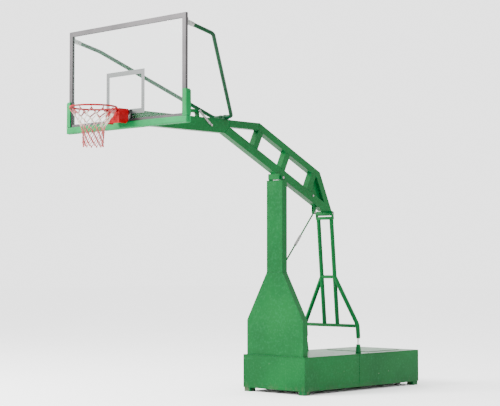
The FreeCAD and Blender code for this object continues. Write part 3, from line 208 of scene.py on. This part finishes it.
def lines(name, runs, closed=False):
    """A mesh of open or closed runs of points joined by edges."""
    points, edges = [], []
    for run in runs:
        first = len(points)
        points += [tuple(p) for p in run]
        edges += [(first + k, first + k + 1) for k in range(len(run) - 1)]
        if closed:
            edges.append((len(points) - 1, first))
    mesh = bpy.data.meshes.new(name)
    mesh.from_pydata(points, edges, [])
    return mesh


def head_layout(at, size):
    """A domed screw head on a washer at every point, facing the way that was asked."""
    dome = at.make("GeometryNodeMeshUVSphere", {}, {"Segments": 14, "Rings": 7, "Radius": size["Radius"]})
    dome = at.make("GeometryNodeTransform", {}, {"Geometry": dome, "Scale": (1, 1, 0.55)})
    washer = at.make("GeometryNodeMeshCylinder", {}, {"Vertices": 20, "Radius": size["Radius"] * 1.6,
                                                      "Depth": size["Radius"] * 0.4})
    both = at.tree.nodes.new("GeometryNodeJoinGeometry")
    for part in (washer, dome):
        at.tree.links.new(part.socket, both.inputs[0])
    turned = at.make("ShaderNodeCombineXYZ", {}, {0: size["Turn X"], 1: size["Turn Y"]})
    return at.make("GeometryNodeInstanceOnPoints", {}, {"Points": size["Geometry"], "Rotation": turned,
                                                        "Instance": Wire(at.tree, both.outputs[0])})


def heads(name, places, radius, turn, material, body):
    piece = grow(name, lines(name, [places]), {"Radius": radius, "Turn X": turn[0], "Turn Y": turn[1]},
                 head_layout, material)
    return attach(piece, body)


def zinc(at):
    blotch = at.noise(60.0, 3.0)
    grain = at.noise(420.0, 2.0, (1, 1, 0.2))
    return {"Base Color": blotch.ramp(0.35, 0.7).blend(tint(104, 106, 104), tint(150, 150, 146)),
            "Roughness": 0.28 + blotch * 0.2, "Normal": at.bump(grain, 0.0002)}


zinc_plate = finish("zinc_plated_steel", zinc, Metallic=1.0)

hatch_half = Vector((0.30, 0.28))
hatch_y = 0.56
hatch_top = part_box("base_lid")[1].z
rim_points = []
for step in range(-3, 4):
    rim_points += [(hatch_half.x * step / 3, hatch_y + hatch_half.y * side, hatch_top) for side in (-1, 1)]
for step in (-1, 0, 1):
    rim_points += [(hatch_half.x * side, hatch_y + hatch_half.y * step / 2, hatch_top) for side in (-1, 1)]
heads("hatch_screws", rim_points, 0.006, (0, 0), zinc_plate, "stand")


def tube_layout(at, size):
    """A round bar along every run, rippled if asked, with its length and girth kept for patterns."""
    line = at.make("GeometryNodeMeshToCurve", {}, {"Mesh": size["Geometry"]})
    line = at.make("GeometryNodeResampleCurve", {"mode": "LENGTH"}, {"Curve": line, "Length": size["Step"]})
    along = at.make("GeometryNodeSplineParameter", output="Length")
    swell = 1 + (along * size["Ripples"]).through("SINE") * size["Ripple Depth"]
    line = at.make("GeometryNodeSetCurveRadius", {}, {"Curve": line, "Radius": swell})
    line = at.make("GeometryNodeStoreNamedAttribute", {"data_type": "FLOAT", "domain": "POINT"},
                   {"Geometry": line, "Name": "along", "Value": along})
    girth = at.make("GeometryNodeCurvePrimitiveCircle", {},
                    {"Resolution": size["Sides"], "Radius": size["Radius"]})
    turn = at.make("GeometryNodeSplineParameter", output="Factor")
    girth = at.make("GeometryNodeStoreNamedAttribute", {"data_type": "FLOAT", "domain": "POINT"},
                    {"Geometry": girth, "Name": "around", "Value": turn})
    return at.make("GeometryNodeCurveToMesh", {}, {"Curve": line, "Profile Curve": girth, "Fill Caps": True})


def bars(name, runs, radius, material, body, closed=False, step=0.01, sides=8, ripples=0.0, depth=0.0):
    sizes = {"Radius": radius, "Step": step, "Sides": sides, "Ripples": ripples, "Ripple Depth": depth}
    piece = grow(name, lines(name, runs, closed), sizes, tube_layout, material)
    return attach(piece, body)


def weld(name, runs, body, closed=False):
    piece = bars(name, runs, 0.0035, frame_paint, body, closed, 0.002, 6, 900.0, 0.22)
    return piece


frame_paint = finish("green_enamel_on_frames", enamel(leaf_green, deep_green, primer_grey, 0.0, 2.0),
                     Specular_IOR_Level=0.08)
shell_low, shell_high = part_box("base_shell")
seam_y = -0.08
weld_short_of_edge = 0.004
upright_runs = [(shell_high.x * side, y) for side in (-1, 1) for y in (shell_low.y, shell_high.y)]
upright_runs += [(shell_high.x * side, seam_y) for side in (-1, 1)]
corner_runs = [[(x, y, shell_low.z + weld_short_of_edge), (x, y, shell_high.z - weld_short_of_edge)]
               for x, y in upright_runs]
weld("base_corner_welds", corner_runs, "stand")


def primed(at):
    patch = at.noise(14.0, 5.0)
    return {"Base Color": patch.ramp(0.3, 0.7).blend(tint(84, 86, 84), tint(126, 126, 120)),
            "Roughness": 0.6 + patch * 0.2, "Normal": at.bump(at.noise(160.0), 0.0005)}


def cast(at):
    skin = at.noise(90.0, 6.0)
    rust = at.noise(12.0, 5.0).ramp(0.5, 0.7)
    return {"Base Color": rust.blend(tint(58, 58, 58), tint(92, 66, 50)), "Roughness": 0.65 + skin * 0.25,
            "Normal": at.bump(skin, 0.0015)}


coat(finish("grey_primer_inside", primed), "base_frame")
coat(finish("rough_cast_iron", cast, Metallic=0.4), "counterweights")


# ------------------------------------------------------------------ jack feet, casters and wheels
# Square steel feet wind out of the corners on screws to take the wheels off the floor. The wheels
# are moulded nylon on steel forks; the rear pair is fixed and the front pair swivels.

foot_paint = finish("green_enamel_on_feet", enamel(deep_green, tint(0, 66, 30), primer_grey, 0.6, 1.0),
                    Specular_IOR_Level=0.08)
corners = [f"{end}_{side}" for end in ("front", "rear") for side in ("left", "right")]
coat(foot_paint, *[f"jack_foot_{corner}" for corner in corners])


def nylon(at):
    scuff = at.noise(85.0, 5.0)
    rim = at.noise(9.0, 3.0)
    return {"Base Color": scuff.ramp(0.5, 0.75).blend(tint(34, 35, 37), tint(88, 86, 82)),
            "Roughness": 0.45 + scuff * 0.25, "Normal": at.bump(scuff + rim * 0.4, 0.0004)}


nylon_wheel = finish("moulded_nylon", nylon)
coat(nylon_wheel, "front_wheel_left", "front_wheel_right", "rear_wheel_left", "rear_wheel_right")
coat(zinc_plate, "caster_fork_left", "caster_fork_right", "caster_mounts")


# ------------------------------------------------------------------ adjusting screws
# Bright rolled threads. Two stand on tapered posts on the lid and carry the legs of the rear frame,
# four smaller lengths with hexagon heads work the feet from inside the box.

screw_x = 0.406
screw_y = -0.025
thread_pitch = 0.004


def threaded(at):
    x = at.axis("X").through("ABSOLUTE") - screw_x
    y = at.axis("Y") - screw_y
    turn = x.maths("ARCTAN2", y, x) / math.tau
    ridge = (at.axis("Z") / thread_pitch + turn).through("FRACT")
    crest = (ridge - 0.5).through("ABSOLUTE") * 2
    oil = at.noise(40.0, 4.0).ramp(0.45, 0.7)
    return {"Base Color": (oil * 0.5).blend(tint(214, 214, 212), tint(128, 122, 110)),
            "Roughness": 0.14 + oil * 0.25, "Normal": at.bump(crest, 0.0012)}


coat(finish("bright_rolled_thread", threaded, Metallic=1.0), "adjusting_screws")
coat(panel_paint, "screw_posts")
coat(zinc_plate, "leg_nuts", "pivot_pins", "frame_hinge_pin")


# ------------------------------------------------------------------ column
# A flat bottle-shaped housing welded to the lid, a straight post on its neck, and a cap with two
# ears that hold the pivot of the boom. The seams are laid with a rippled weld and painted over.

def loop(x, y_span, z):
    """A rectangle round a column or tube of half width x at one height."""
    return [(-x, y_span[0], z), (x, y_span[0], z), (x, y_span[1], z), (-x, y_span[1], z)]


column_low, column_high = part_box("column_housing")
post_low, post_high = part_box("column_post")
depth = (column_low.y, column_high.y)
weld("column_welds", [loop(column_high.x, depth, column_low.z), loop(post_high.x, depth, post_low.z),
                      loop(post_high.x, depth, post_high.z)], "stand", True)
cap_top = post_high.z + 0.008
ear_faces = (0.086, 0.098)
ear_reach = (-1.02, -0.96)
ear_runs = [[(x * side, y, cap_top) for y in ear_reach] for side in (-1, 1) for x in ear_faces]
weld("ear_welds", ear_runs, "stand")
screw_post_radius = 0.034
ring_points = 40
post_rings = []
for side in (-1, 1):
    turns = [k * math.tau / ring_points for k in range(ring_points)]
    post_rings.append([(screw_x * side + screw_post_radius * math.cos(a),
                        screw_y + screw_post_radius * math.sin(a), column_low.z) for a in turns])
weld("screw_post_welds", post_rings, "stand", True)


# ------------------------------------------------------------------ boom
# Rectangular tubes mitred and welded into a truss: a level beam out to the board, two parallel
# chords raked down to the rear hinge, square posts between them and a thin plate in the last bay.

coat(frame_paint, "front_beam", "upper_chord", "lower_chord", "boom_posts", "web_plate", "pivot_block",
     "levelling_bracket", "tie_lug", "board_bracket", "rear_hinge_sleeve")
coat(zinc_plate, "levelling_links", "boom_bolts")
boom_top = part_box("upper_chord")[1].z
tube_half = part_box("upper_chord")[1].x
knee_y = -1.315
rake = math.radians(26)


def on_boom(x, along, drop):
    """A point along the raked chords, a drop square to them below the outer line."""
    return (x, knee_y + along * math.cos(rake) - drop * math.sin(rake),
            boom_top - along * math.sin(rake) - drop * math.cos(rake))


chord_gap = (0.08, 0.283)
post_start = 0.019
post_pitch = 0.506
post_width = 0.08
boom_runs = []
for number in range(3):
    first = post_start + post_pitch * number
    for drop in chord_gap:
        boom_runs.append([on_boom(x, along, drop) for x, along in
                          ((-tube_half, first), (tube_half, first), (tube_half, first + post_width),
                           (-tube_half, first + post_width))])
weld("boom_post_welds", boom_runs, "boom", True)
beam_low, beam_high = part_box("front_beam")
head_y = beam_high.y
chord_front_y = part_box("lower_chord")[0].y
mitre_lean = 0.018
mitre_runs = []
for side in (-1, 1):
    x = tube_half * side
    mitre_runs.append([(x, head_y, boom_top), (x, head_y, boom_top - chord_gap[0]),
                       (x, chord_front_y, beam_low.z)])
    mitre_runs.append([(x, knee_y, boom_top), (x, knee_y - mitre_lean, boom_top - chord_gap[0])])
mitre_runs.append([(-tube_half, knee_y, boom_top), (tube_half, knee_y, boom_top)])
mitre_runs.append([(-tube_half, head_y, boom_top), (tube_half, head_y, boom_top)])
weld("boom_mitre_welds", mitre_runs, "boom")


# ------------------------------------------------------------------ rear frame and tie rod
# Round tubes welded to flat crossbars. The frame stands on the two upright screws and props the
# rear of the boom. A thinner rod with a turnbuckle ties the column to the boom.

coat(frame_paint, "frame_inner_tubes", "frame_outer_legs", "frame_crossbars",
     "tie_rod_lower", "tie_rod_upper")
coat(zinc_plate, "turnbuckle")


# ------------------------------------------------------------------ backboard
# Toughened glass in an aluminium channel, with a thin grey seal. The shooter's square is screened
# on the front of the glass. The channel is drawn, so its brushing runs along each bar.

def brushed(at):
    streak = at.noise(70.0, 3.0, (0.05, 1, 1)) + at.noise(70.0, 3.0, (1, 1, 0.05))
    cloud = at.noise(3.0, 3.0)
    return {"Base Color": cloud.ramp(0.3, 0.7).blend(tint(40, 38, 39), tint(52, 49, 50)),
            "Roughness": 0.36 + streak * 0.1, "Normal": at.bump(streak, 0.0002)}


coat(finish("drawn_aluminium", brushed, Metallic=0.6), "board_frame")


def clear(at):
    haze = at.noise(2.2, 3.0)
    # Painted reflection: the pane shows more of its pale colour towards grazing angles, standing in for the
    # light it reflects. The haze term is the glass's own faint tint.
    painted_reflection_weight = at.make("ShaderNodeLayerWeight", {}, {"Blend": 0.3}, "Facing")
    return {"Base Color": haze.blend(tint(196, 222, 212), tint(214, 232, 224)),
            "Roughness": haze * 0.05 + 0.02, "Alpha": painted_reflection_weight * 0.05 + haze * 0.02}


glass = finish("toughened_glass", clear, Specular_IOR_Level=0.5)
coat(glass, "glass_pane")


def screened(at):
    fade = at.noise(30.0, 4.0)
    return {"Base Color": fade.ramp(0.3, 0.75).blend(tint(48, 53, 51), tint(56, 61, 59)),
            "Roughness": 0.4 + fade * 0.15, "Normal": at.bump(at.noise(220.0), 0.0002)}


glass_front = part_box("glass_pane")[0].y
print_y = glass_front - 0.0004


def square_ring(name, half, z_span, width, depth_span, material):
    """A flat rectangular ring in the plane of the board."""
    mesh = bmesh.new()
    corners = []
    for y in depth_span:
        for grow_by in (0, width):
            corners.append([mesh.verts.new((x, y, z)) for x, z in
                            ((-half + grow_by, z_span[0] + grow_by), (half - grow_by, z_span[0] + grow_by),
                             (half - grow_by, z_span[1] - grow_by), (-half + grow_by, z_span[1] - grow_by))])
    front_out, front_in, back_out, back_in = corners
    for a in range(4):
        b = (a + 1) % 4
        mesh.faces.new((front_out[a], front_out[b], front_in[b], front_in[a]))
        mesh.faces.new((back_out[b], back_out[a], back_in[a], back_in[b]))
        mesh.faces.new((front_out[b], front_out[a], back_out[a], back_out[b]))
        mesh.faces.new((front_in[a], front_in[b], back_in[b], back_in[a]))
    bmesh.ops.recalc_face_normals(mesh, faces=mesh.faces)
    data = bpy.data.meshes.new(name)
    mesh.to_mesh(data)
    data.materials.append(material)
    piece = bpy.data.objects.new(name, data)
    bpy.context.scene.collection.objects.link(piece)
    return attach(piece, "boom")


square_paint = finish("screened_grey_ink", screened)
target = square_ring("shooters_square", 0.295, (3.0, 3.45), 0.05, (print_y, print_y + 0.0003), square_paint)


def rubber(at):
    bloom = at.noise(34.0, 5.0)
    return {"Base Color": bloom.ramp(0.5, 0.8).blend(tint(20, 20, 21), tint(58, 57, 55)),
            "Roughness": 0.55 + bloom * 0.25, "Normal": at.bump(at.noise(260.0), 0.0003)}


black_rubber = finish("black_rubber", rubber)
frame_low, frame_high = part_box("board_frame")
bar = 0.05
under_bar = 0.001
seal = square_ring("glass_seal", frame_high.x - bar + under_bar,
                   (frame_low.z + bar - under_bar, frame_high.z - bar + under_bar), 0.004,
                   (glass_front - 0.003, glass_front - 0.0002), black_rubber)
lowest_screw = frame_low.z + 0.34
screw_pitch_up = 0.14
screw_pitch_across = 0.2
frame_screws = []
for step in range(4):
    z = lowest_screw + step * screw_pitch_up
    frame_screws += [((frame_high.x - bar / 2) * side, frame_high.y, z) for side in (-1, 1)]
for step in range(-4, 5):
    frame_screws.append((step * screw_pitch_across, frame_high.y, frame_high.z - bar / 2))
heads("board_frame_screws", frame_screws, 0.005, (-math.pi / 2, 0), zinc_plate, "boom")


# ------------------------------------------------------------------ stays
# Two bent tubes hold the top of the board back to the beam. Clamp sockets bolt to the channel, and
# a grooved saddle with two straps holds their lower ends on the beam.

# The stays and their saddle take a darker copy of the frame's green enamel: painted shade, not a different
# paint.
shaded_stay_paint = finish("green_enamel_with_painted_shade_on_stays", enamel(tint(0, 52, 24), tint(0, 42, 20), primer_grey, 0.0, 0.5),
                    Specular_IOR_Level=0.08)
coat(shaded_stay_paint, "stay_left", "stay_right", "stay_saddle")
coat(zinc_plate, "stay_clamps")
clamp_low, clamp_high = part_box("stay_clamps")
clamp_screws = []
for side in (-1, 1):
    for z in (clamp_low.z + 0.008, clamp_high.z - 0.009):
        clamp_screws.append(((clamp_high.x - 0.025) * side, clamp_low.y + 0.008, z))
heads("clamp_screws", clamp_screws, 0.005, (-math.pi / 2, 0), zinc_plate, "boom")
saddle_low, saddle_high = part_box("stay_saddle")
strap_top = saddle_low.z + 0.019
strap_screws = [(x, y, strap_top) for x in (-0.034, 0.034)
                for y in (saddle_low.y + 0.005, saddle_high.y - 0.005)]
heads("strap_screws", strap_screws, 0.0035, (0, 0), zinc_plate, "boom")


# ------------------------------------------------------------------ padding
# Moulded foam with a smooth green skin, pressed over the lower edge and the lower corners of the
# board. Its faces are crowned and its edges rolled, and a parting line runs round each piece.

def foam(at):
    crease = at.noise(12.0, 5.0, (0.3, 1, 1))
    pores = at.noise(380.0, 2.0)
    tone = at.noise(4.0, 3.0).ramp(0.3, 0.7)
    return {"Base Color": tone.blend(tint(0, 92, 44), tint(4, 106, 56)), "Roughness": 0.42 + crease * 0.2,
            "Normal": at.bump(pores * 0.3 + crease * 1.4, 0.0012)}


foam_skin = finish("green_foam_skin", foam, Specular_IOR_Level=0.08)


pad_inset = 0.005
pad_voxel = 0.006
pad_limit = pad_inset * 1.3
notch_half = 0.157
joint_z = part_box("pad_bottom")[1].z


def moulded(name, node):
    """A padded copy of a foam solid: shrunk a little, then blown up from inside as the foam fills it.

    The faces in the channel, in the notch and at the joint between two pads stay where they are."""
    low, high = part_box(node)
    data = cad[node].data.copy()
    piece = bpy.data.objects.new(name, data)
    bpy.context.scene.collection.objects.link(piece)
    remesh = piece.modifiers.new("even_faces", "REMESH")
    remesh.mode = "VOXEL"
    remesh.voxel_size = pad_voxel
    settle(piece)
    channel_low = frame_low - Vector((0.003, 0.003, 0.003))
    channel_high = Vector((frame_high.x + 0.003, frame_high.y + 0.003, frame_high.z))
    held = piece.vertex_groups.new(name="held")
    start = []
    for point in piece.data.vertices:
        co = point.co
        inside = all(channel_low[k] < co[k] < channel_high[k] for k in range(3))
        near_notch = abs(co.x) < notch_half and co.y > frame_high.y - 0.002 and co.z > frame_low.z - 0.008
        at_joint = abs(co.z - joint_z) < 0.005
        if inside or near_notch or at_joint:
            held.add([point.index], 1.0, "REPLACE")
        else:
            point.co = co - point.normal * pad_inset
        start.append(point.co.copy())
    cloth = piece.modifiers.new("foam", "CLOTH")
    cloth.settings.quality = 4
    cloth.settings.mass = 0.3
    cloth.settings.use_pressure = True
    cloth.settings.uniform_pressure_force = 4.0
    cloth.settings.effector_weights.gravity = 0.0
    cloth.settings.vertex_group_mass = "held"
    cloth.collision_settings.use_collision = False
    cloth.point_cache.frame_end = 20
    for number in range(1, 21):
        bpy.context.scene.frame_set(number)
    settle(piece)
    bpy.context.scene.frame_set(1)
    for point, was in zip(piece.data.vertices, start):
        move = point.co - was
        if move.length > pad_limit:
            move = move.normalized() * pad_limit
        point.co = [min(max(was[k] + move[k], low[k] + 0.0003), high[k] - 0.0003) for k in range(3)]
    smooth = piece.modifiers.new("ease", "SMOOTH")
    smooth.iterations = 2
    finer = piece.modifiers.new("finer", "SUBSURF")
    finer.levels = 1
    settle(piece)
    piece.vertex_groups.clear()
    piece.data.materials.clear()
    piece.data.materials.append(foam_skin)
    piece.data.shade_smooth()
    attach(piece, "boom")
    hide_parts(node)
    return piece


def settle(piece):
    """Make what the modifiers show the piece's own mesh."""
    bpy.context.view_layer.update()
    seen = piece.evaluated_get(bpy.context.evaluated_depsgraph_get())
    result = bpy.data.meshes.new_from_object(seen)
    piece.modifiers.clear()
    piece.data = result


moulded("bottom_padding", "pad_bottom")
moulded("left_padding", "pad_side_left")
moulded("right_padding", "pad_side_right")
pad_low, pad_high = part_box("pad_bottom")
side_low, side_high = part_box("pad_side_right")
seam_mid = (pad_low.y + pad_high.y) / 2
under = [(x / 20 * (pad_high.x - 0.008), seam_mid, pad_low.z + 0.0004) for x in range(-20, 21)]
outer_runs = [under]
for side in (-1, 1):
    outer_runs.append([((pad_high.x - 0.0004) * side, seam_mid, z) for z in
                       (pad_low.z + 0.008, pad_high.z - 0.008, side_low.z + 0.008, side_high.z - 0.03)])
parting = bars("padding_parting_line", outer_runs, 0.0012, foam_skin, "boom", step=0.02, sides=6)


# ------------------------------------------------------------------ ring
# A steel bar rolled to a circle and welded to two arms, powder coated red. It tips on a pin when it
# is pulled, against two coil springs on bolts, under a folded sheet cover.

def powder(at):
    drift = at.noise(9.0, 4.0).ramp(0.3, 0.7)
    rub = at.noise(52.0, 7.0).ramp(0.66, 0.7)
    colour = (rub * 0.4).blend(drift.blend(tint(108, 0, 4), tint(128, 0, 8)), tint(120, 60, 54))
    return {"Base Color": colour, "Roughness": 0.32 + rub * 0.25 + drift * 0.08,
            "Normal": at.bump(at.noise(330.0, 2.0) - rub * 0.5, 0.0005)}


red_powder = finish("red_powder_coat", powder, Specular_IOR_Level=0.08)
coat(red_powder, "rim_ring", "ring_bracket", "spring_cover", "net_hooks")
coat(zinc_plate, "rim_plate", "rim_bolts")
coat(black_rubber, "rim_gaskets")

spring_low, spring_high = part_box("rim_springs")
coil_place = 0.045
coil_radius = 0.00912
coil_wire = 0.0012
coil_turns = 5
coil_steps = 20
spring_mid = (spring_low.z + spring_high.z) / 2
coil_runs = []
for side in (-1, 1):
    run = []
    for step in range(coil_turns * coil_steps + 1):
        angle = step / coil_steps * math.tau
        share = step / (coil_turns * coil_steps)
        y = spring_low.y + coil_wire + (spring_high.y - spring_low.y - 2 * coil_wire) * share
        run.append((coil_place * side + coil_radius * math.cos(angle), y,
                    spring_mid + coil_radius * math.sin(angle)))
    coil_runs.append(run)
coils = bars("ring_springs", coil_runs, coil_wire, zinc_plate, "boom", step=0.0025, sides=8)
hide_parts("rim_springs")
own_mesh(coils)


# ------------------------------------------------------------------ net
# Braided cord looped over the hooks and knotted into diamonds. It falls in quickly to a waist and
# hangs almost straight below it. The upper half is white and the lower half red.

net_low, net_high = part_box("net")
net_middle = Vector((0, (net_low.y + net_high.y) / 2))
net_top = net_high.z - 0.001
drop_of_rows = (0.0, 0.062, 0.122, 0.180, 0.232, 0.282, 0.330, 0.368)
radius_of_rows = (0.2285, 0.190, 0.153, 0.120, 0.109, 0.106, 0.104, 0.1015)
hooks = 12
cord_radius = 0.004
steps_per_row = 8


def net_point(row, across):
    """A point on the net: rows down from the hooks, and hooks round the ring."""
    lower = min(int(row), len(drop_of_rows) - 2)
    share = row - lower
    drop = drop_of_rows[lower] * (1 - share) + drop_of_rows[lower + 1] * share
    girth = radius_of_rows[lower] * (1 - share) + radius_of_rows[lower + 1] * share
    girth -= 0.004 * math.sin(math.pi * share) * (1 if lower < 3 else 0.3)
    angle = (across + 0.5) * math.tau / hooks
    lean = 0.002 * math.sin(5 * angle + row * 2.1)
    return (net_middle.x + (girth + lean) * math.cos(angle),
            net_middle.y + (girth + lean) * math.sin(angle), net_top - drop)


strands = []
last_row = len(drop_of_rows) - 1
for hook in range(hooks):
    for way in (-0.5, 0.5):
        run = []
        for step in range(last_row * steps_per_row + 1):
            row = step / steps_per_row
            pull = 0.07 * math.sin(math.tau * row)
            run.append(net_point(row, hook + way * (row - pull)))
        strands.append(run)


def braid(at):
    along = at.make("ShaderNodeAttribute", {"attribute_name": "along"}, {}, "Fac")
    around = at.make("ShaderNodeAttribute", {"attribute_name": "around"}, {}, "Fac")
    left = (along * 1900 + around * math.tau * 2).through("SINE")
    right = (along * 1900 - around * math.tau * 2).through("SINE")
    plait = left.maths("MAXIMUM", left, right)
    height = at.axis("Z") + at.noise(22.0, 2.0) * 0.09
    lower = 1 - height.ramp(net_top - 0.155, net_top - 0.095)
    top = height.ramp(net_top - 0.012, net_top + 0.006)
    fleck = at.noise(34.0, 2.0).ramp(0.5, 0.58)
    white = (fleck * 0.5).blend(tint(176, 168, 154), tint(140, 10, 12))
    red = (fleck * 0.5).blend(tint(124, 0, 6), tint(184, 84, 76))
    colour = top.blend(lower.blend(white, red), tint(120, 0, 6))
    return {"Base Color": colour, "Roughness": 0.8 - plait * 0.08,
            "Normal": at.bump(plait, 0.0006)}


net_cord = finish("braided_net_cord", braid, Sheen_Weight=0.3)
net_piece = bars("net_cords", strands, cord_radius, net_cord, "ring", step=0.006, sides=8)
loop_runs = [run[:steps_per_row + 1] for run in strands]
loop_piece = bars("net_loops", loop_runs, cord_radius * 1.8, net_cord, "ring", step=0.006, sides=8)
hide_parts("net")


def knot_layout(at, size):
    ball = at.make("GeometryNodeMeshIcoSphere", {}, {"Radius": size["Radius"], "Subdivisions": 2})
    ball = at.make("GeometryNodeTransform", {}, {"Geometry": ball, "Scale": (1, 1, 1.35)})
    return at.make("GeometryNodeInstanceOnPoints", {}, {"Points": size["Geometry"], "Instance": ball})


knots = [net_point(row, hook + 0.5 * (row % 2)) for row in range(1, last_row + 1) for hook in range(hooks)]
knot_piece = grow("net_knots", lines("net_knots", [knots]), {"Radius": cord_radius * 1.9}, knot_layout,
                  net_cord)
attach(knot_piece, "ring")


# ------------------------------------------------------------------ floor, light and camera
# A plain pale floor under an even white sky, with one broad lamp ahead of the board and to its left.

def pale(at):
    return {"Base Color": at.noise(0.6, 2.0).blend(tint(250, 250, 250), tint(254, 254, 254)),
            "Roughness": 0.9 + at.noise(3.0) * 0.05}


floor_mesh = bpy.data.meshes.new("studio_floor")
reach = 60.0
floor_corners = [(-reach, -reach, 0), (reach, -reach, 0), (reach, reach, 0), (-reach, reach, 0)]
floor_mesh.from_pydata(floor_corners, [], [(0, 1, 2, 3)])
floor_mesh.materials.append(finish("pale_floor", pale))
floor = bpy.data.objects.new("studio_floor", floor_mesh)
bpy.context.scene.collection.objects.link(floor)

world = bpy.data.worlds.new("studio_sky")
world.use_nodes = True
world.node_tree.nodes["Background"].inputs["Color"].default_value = (1, 1, 1, 1)
world.node_tree.nodes["Background"].inputs["Strength"].default_value = 2.7
bpy.context.scene.world = world


def lamp(name, place, aim, width, power):
    light = bpy.data.lights.new(name, "AREA")
    light.shape = "DISK"
    light.size = width
    light.energy = power
    holder = bpy.data.objects.new(name, light)
    holder.location = place
    holder.rotation_euler = (Vector(aim) - Vector(place)).to_track_quat("-Z", "Y").to_euler()
    bpy.context.scene.collection.objects.link(holder)


lamp("broad_lamp", (-5.0, -11.0, 7.5), (0, -1.2, 1.4), 6.0, 4600)

lens = bpy.data.cameras.new("view")
picture_width = 500
focal_pixels = 1395.8
lens.sensor_width = 36.0
lens.lens = lens.sensor_width * focal_pixels / picture_width
lens.clip_end = 200
camera = bpy.data.objects.new("view", lens)
camera.location = (10.775, -12.763, 1.449)
camera.rotation_euler = Euler((math.radians(90 + 2.57), 0, math.radians(43.566)))
bpy.context.scene.collection.objects.link(camera)
bpy.context.scene.camera = camera

bpy.context.view_layer.update()
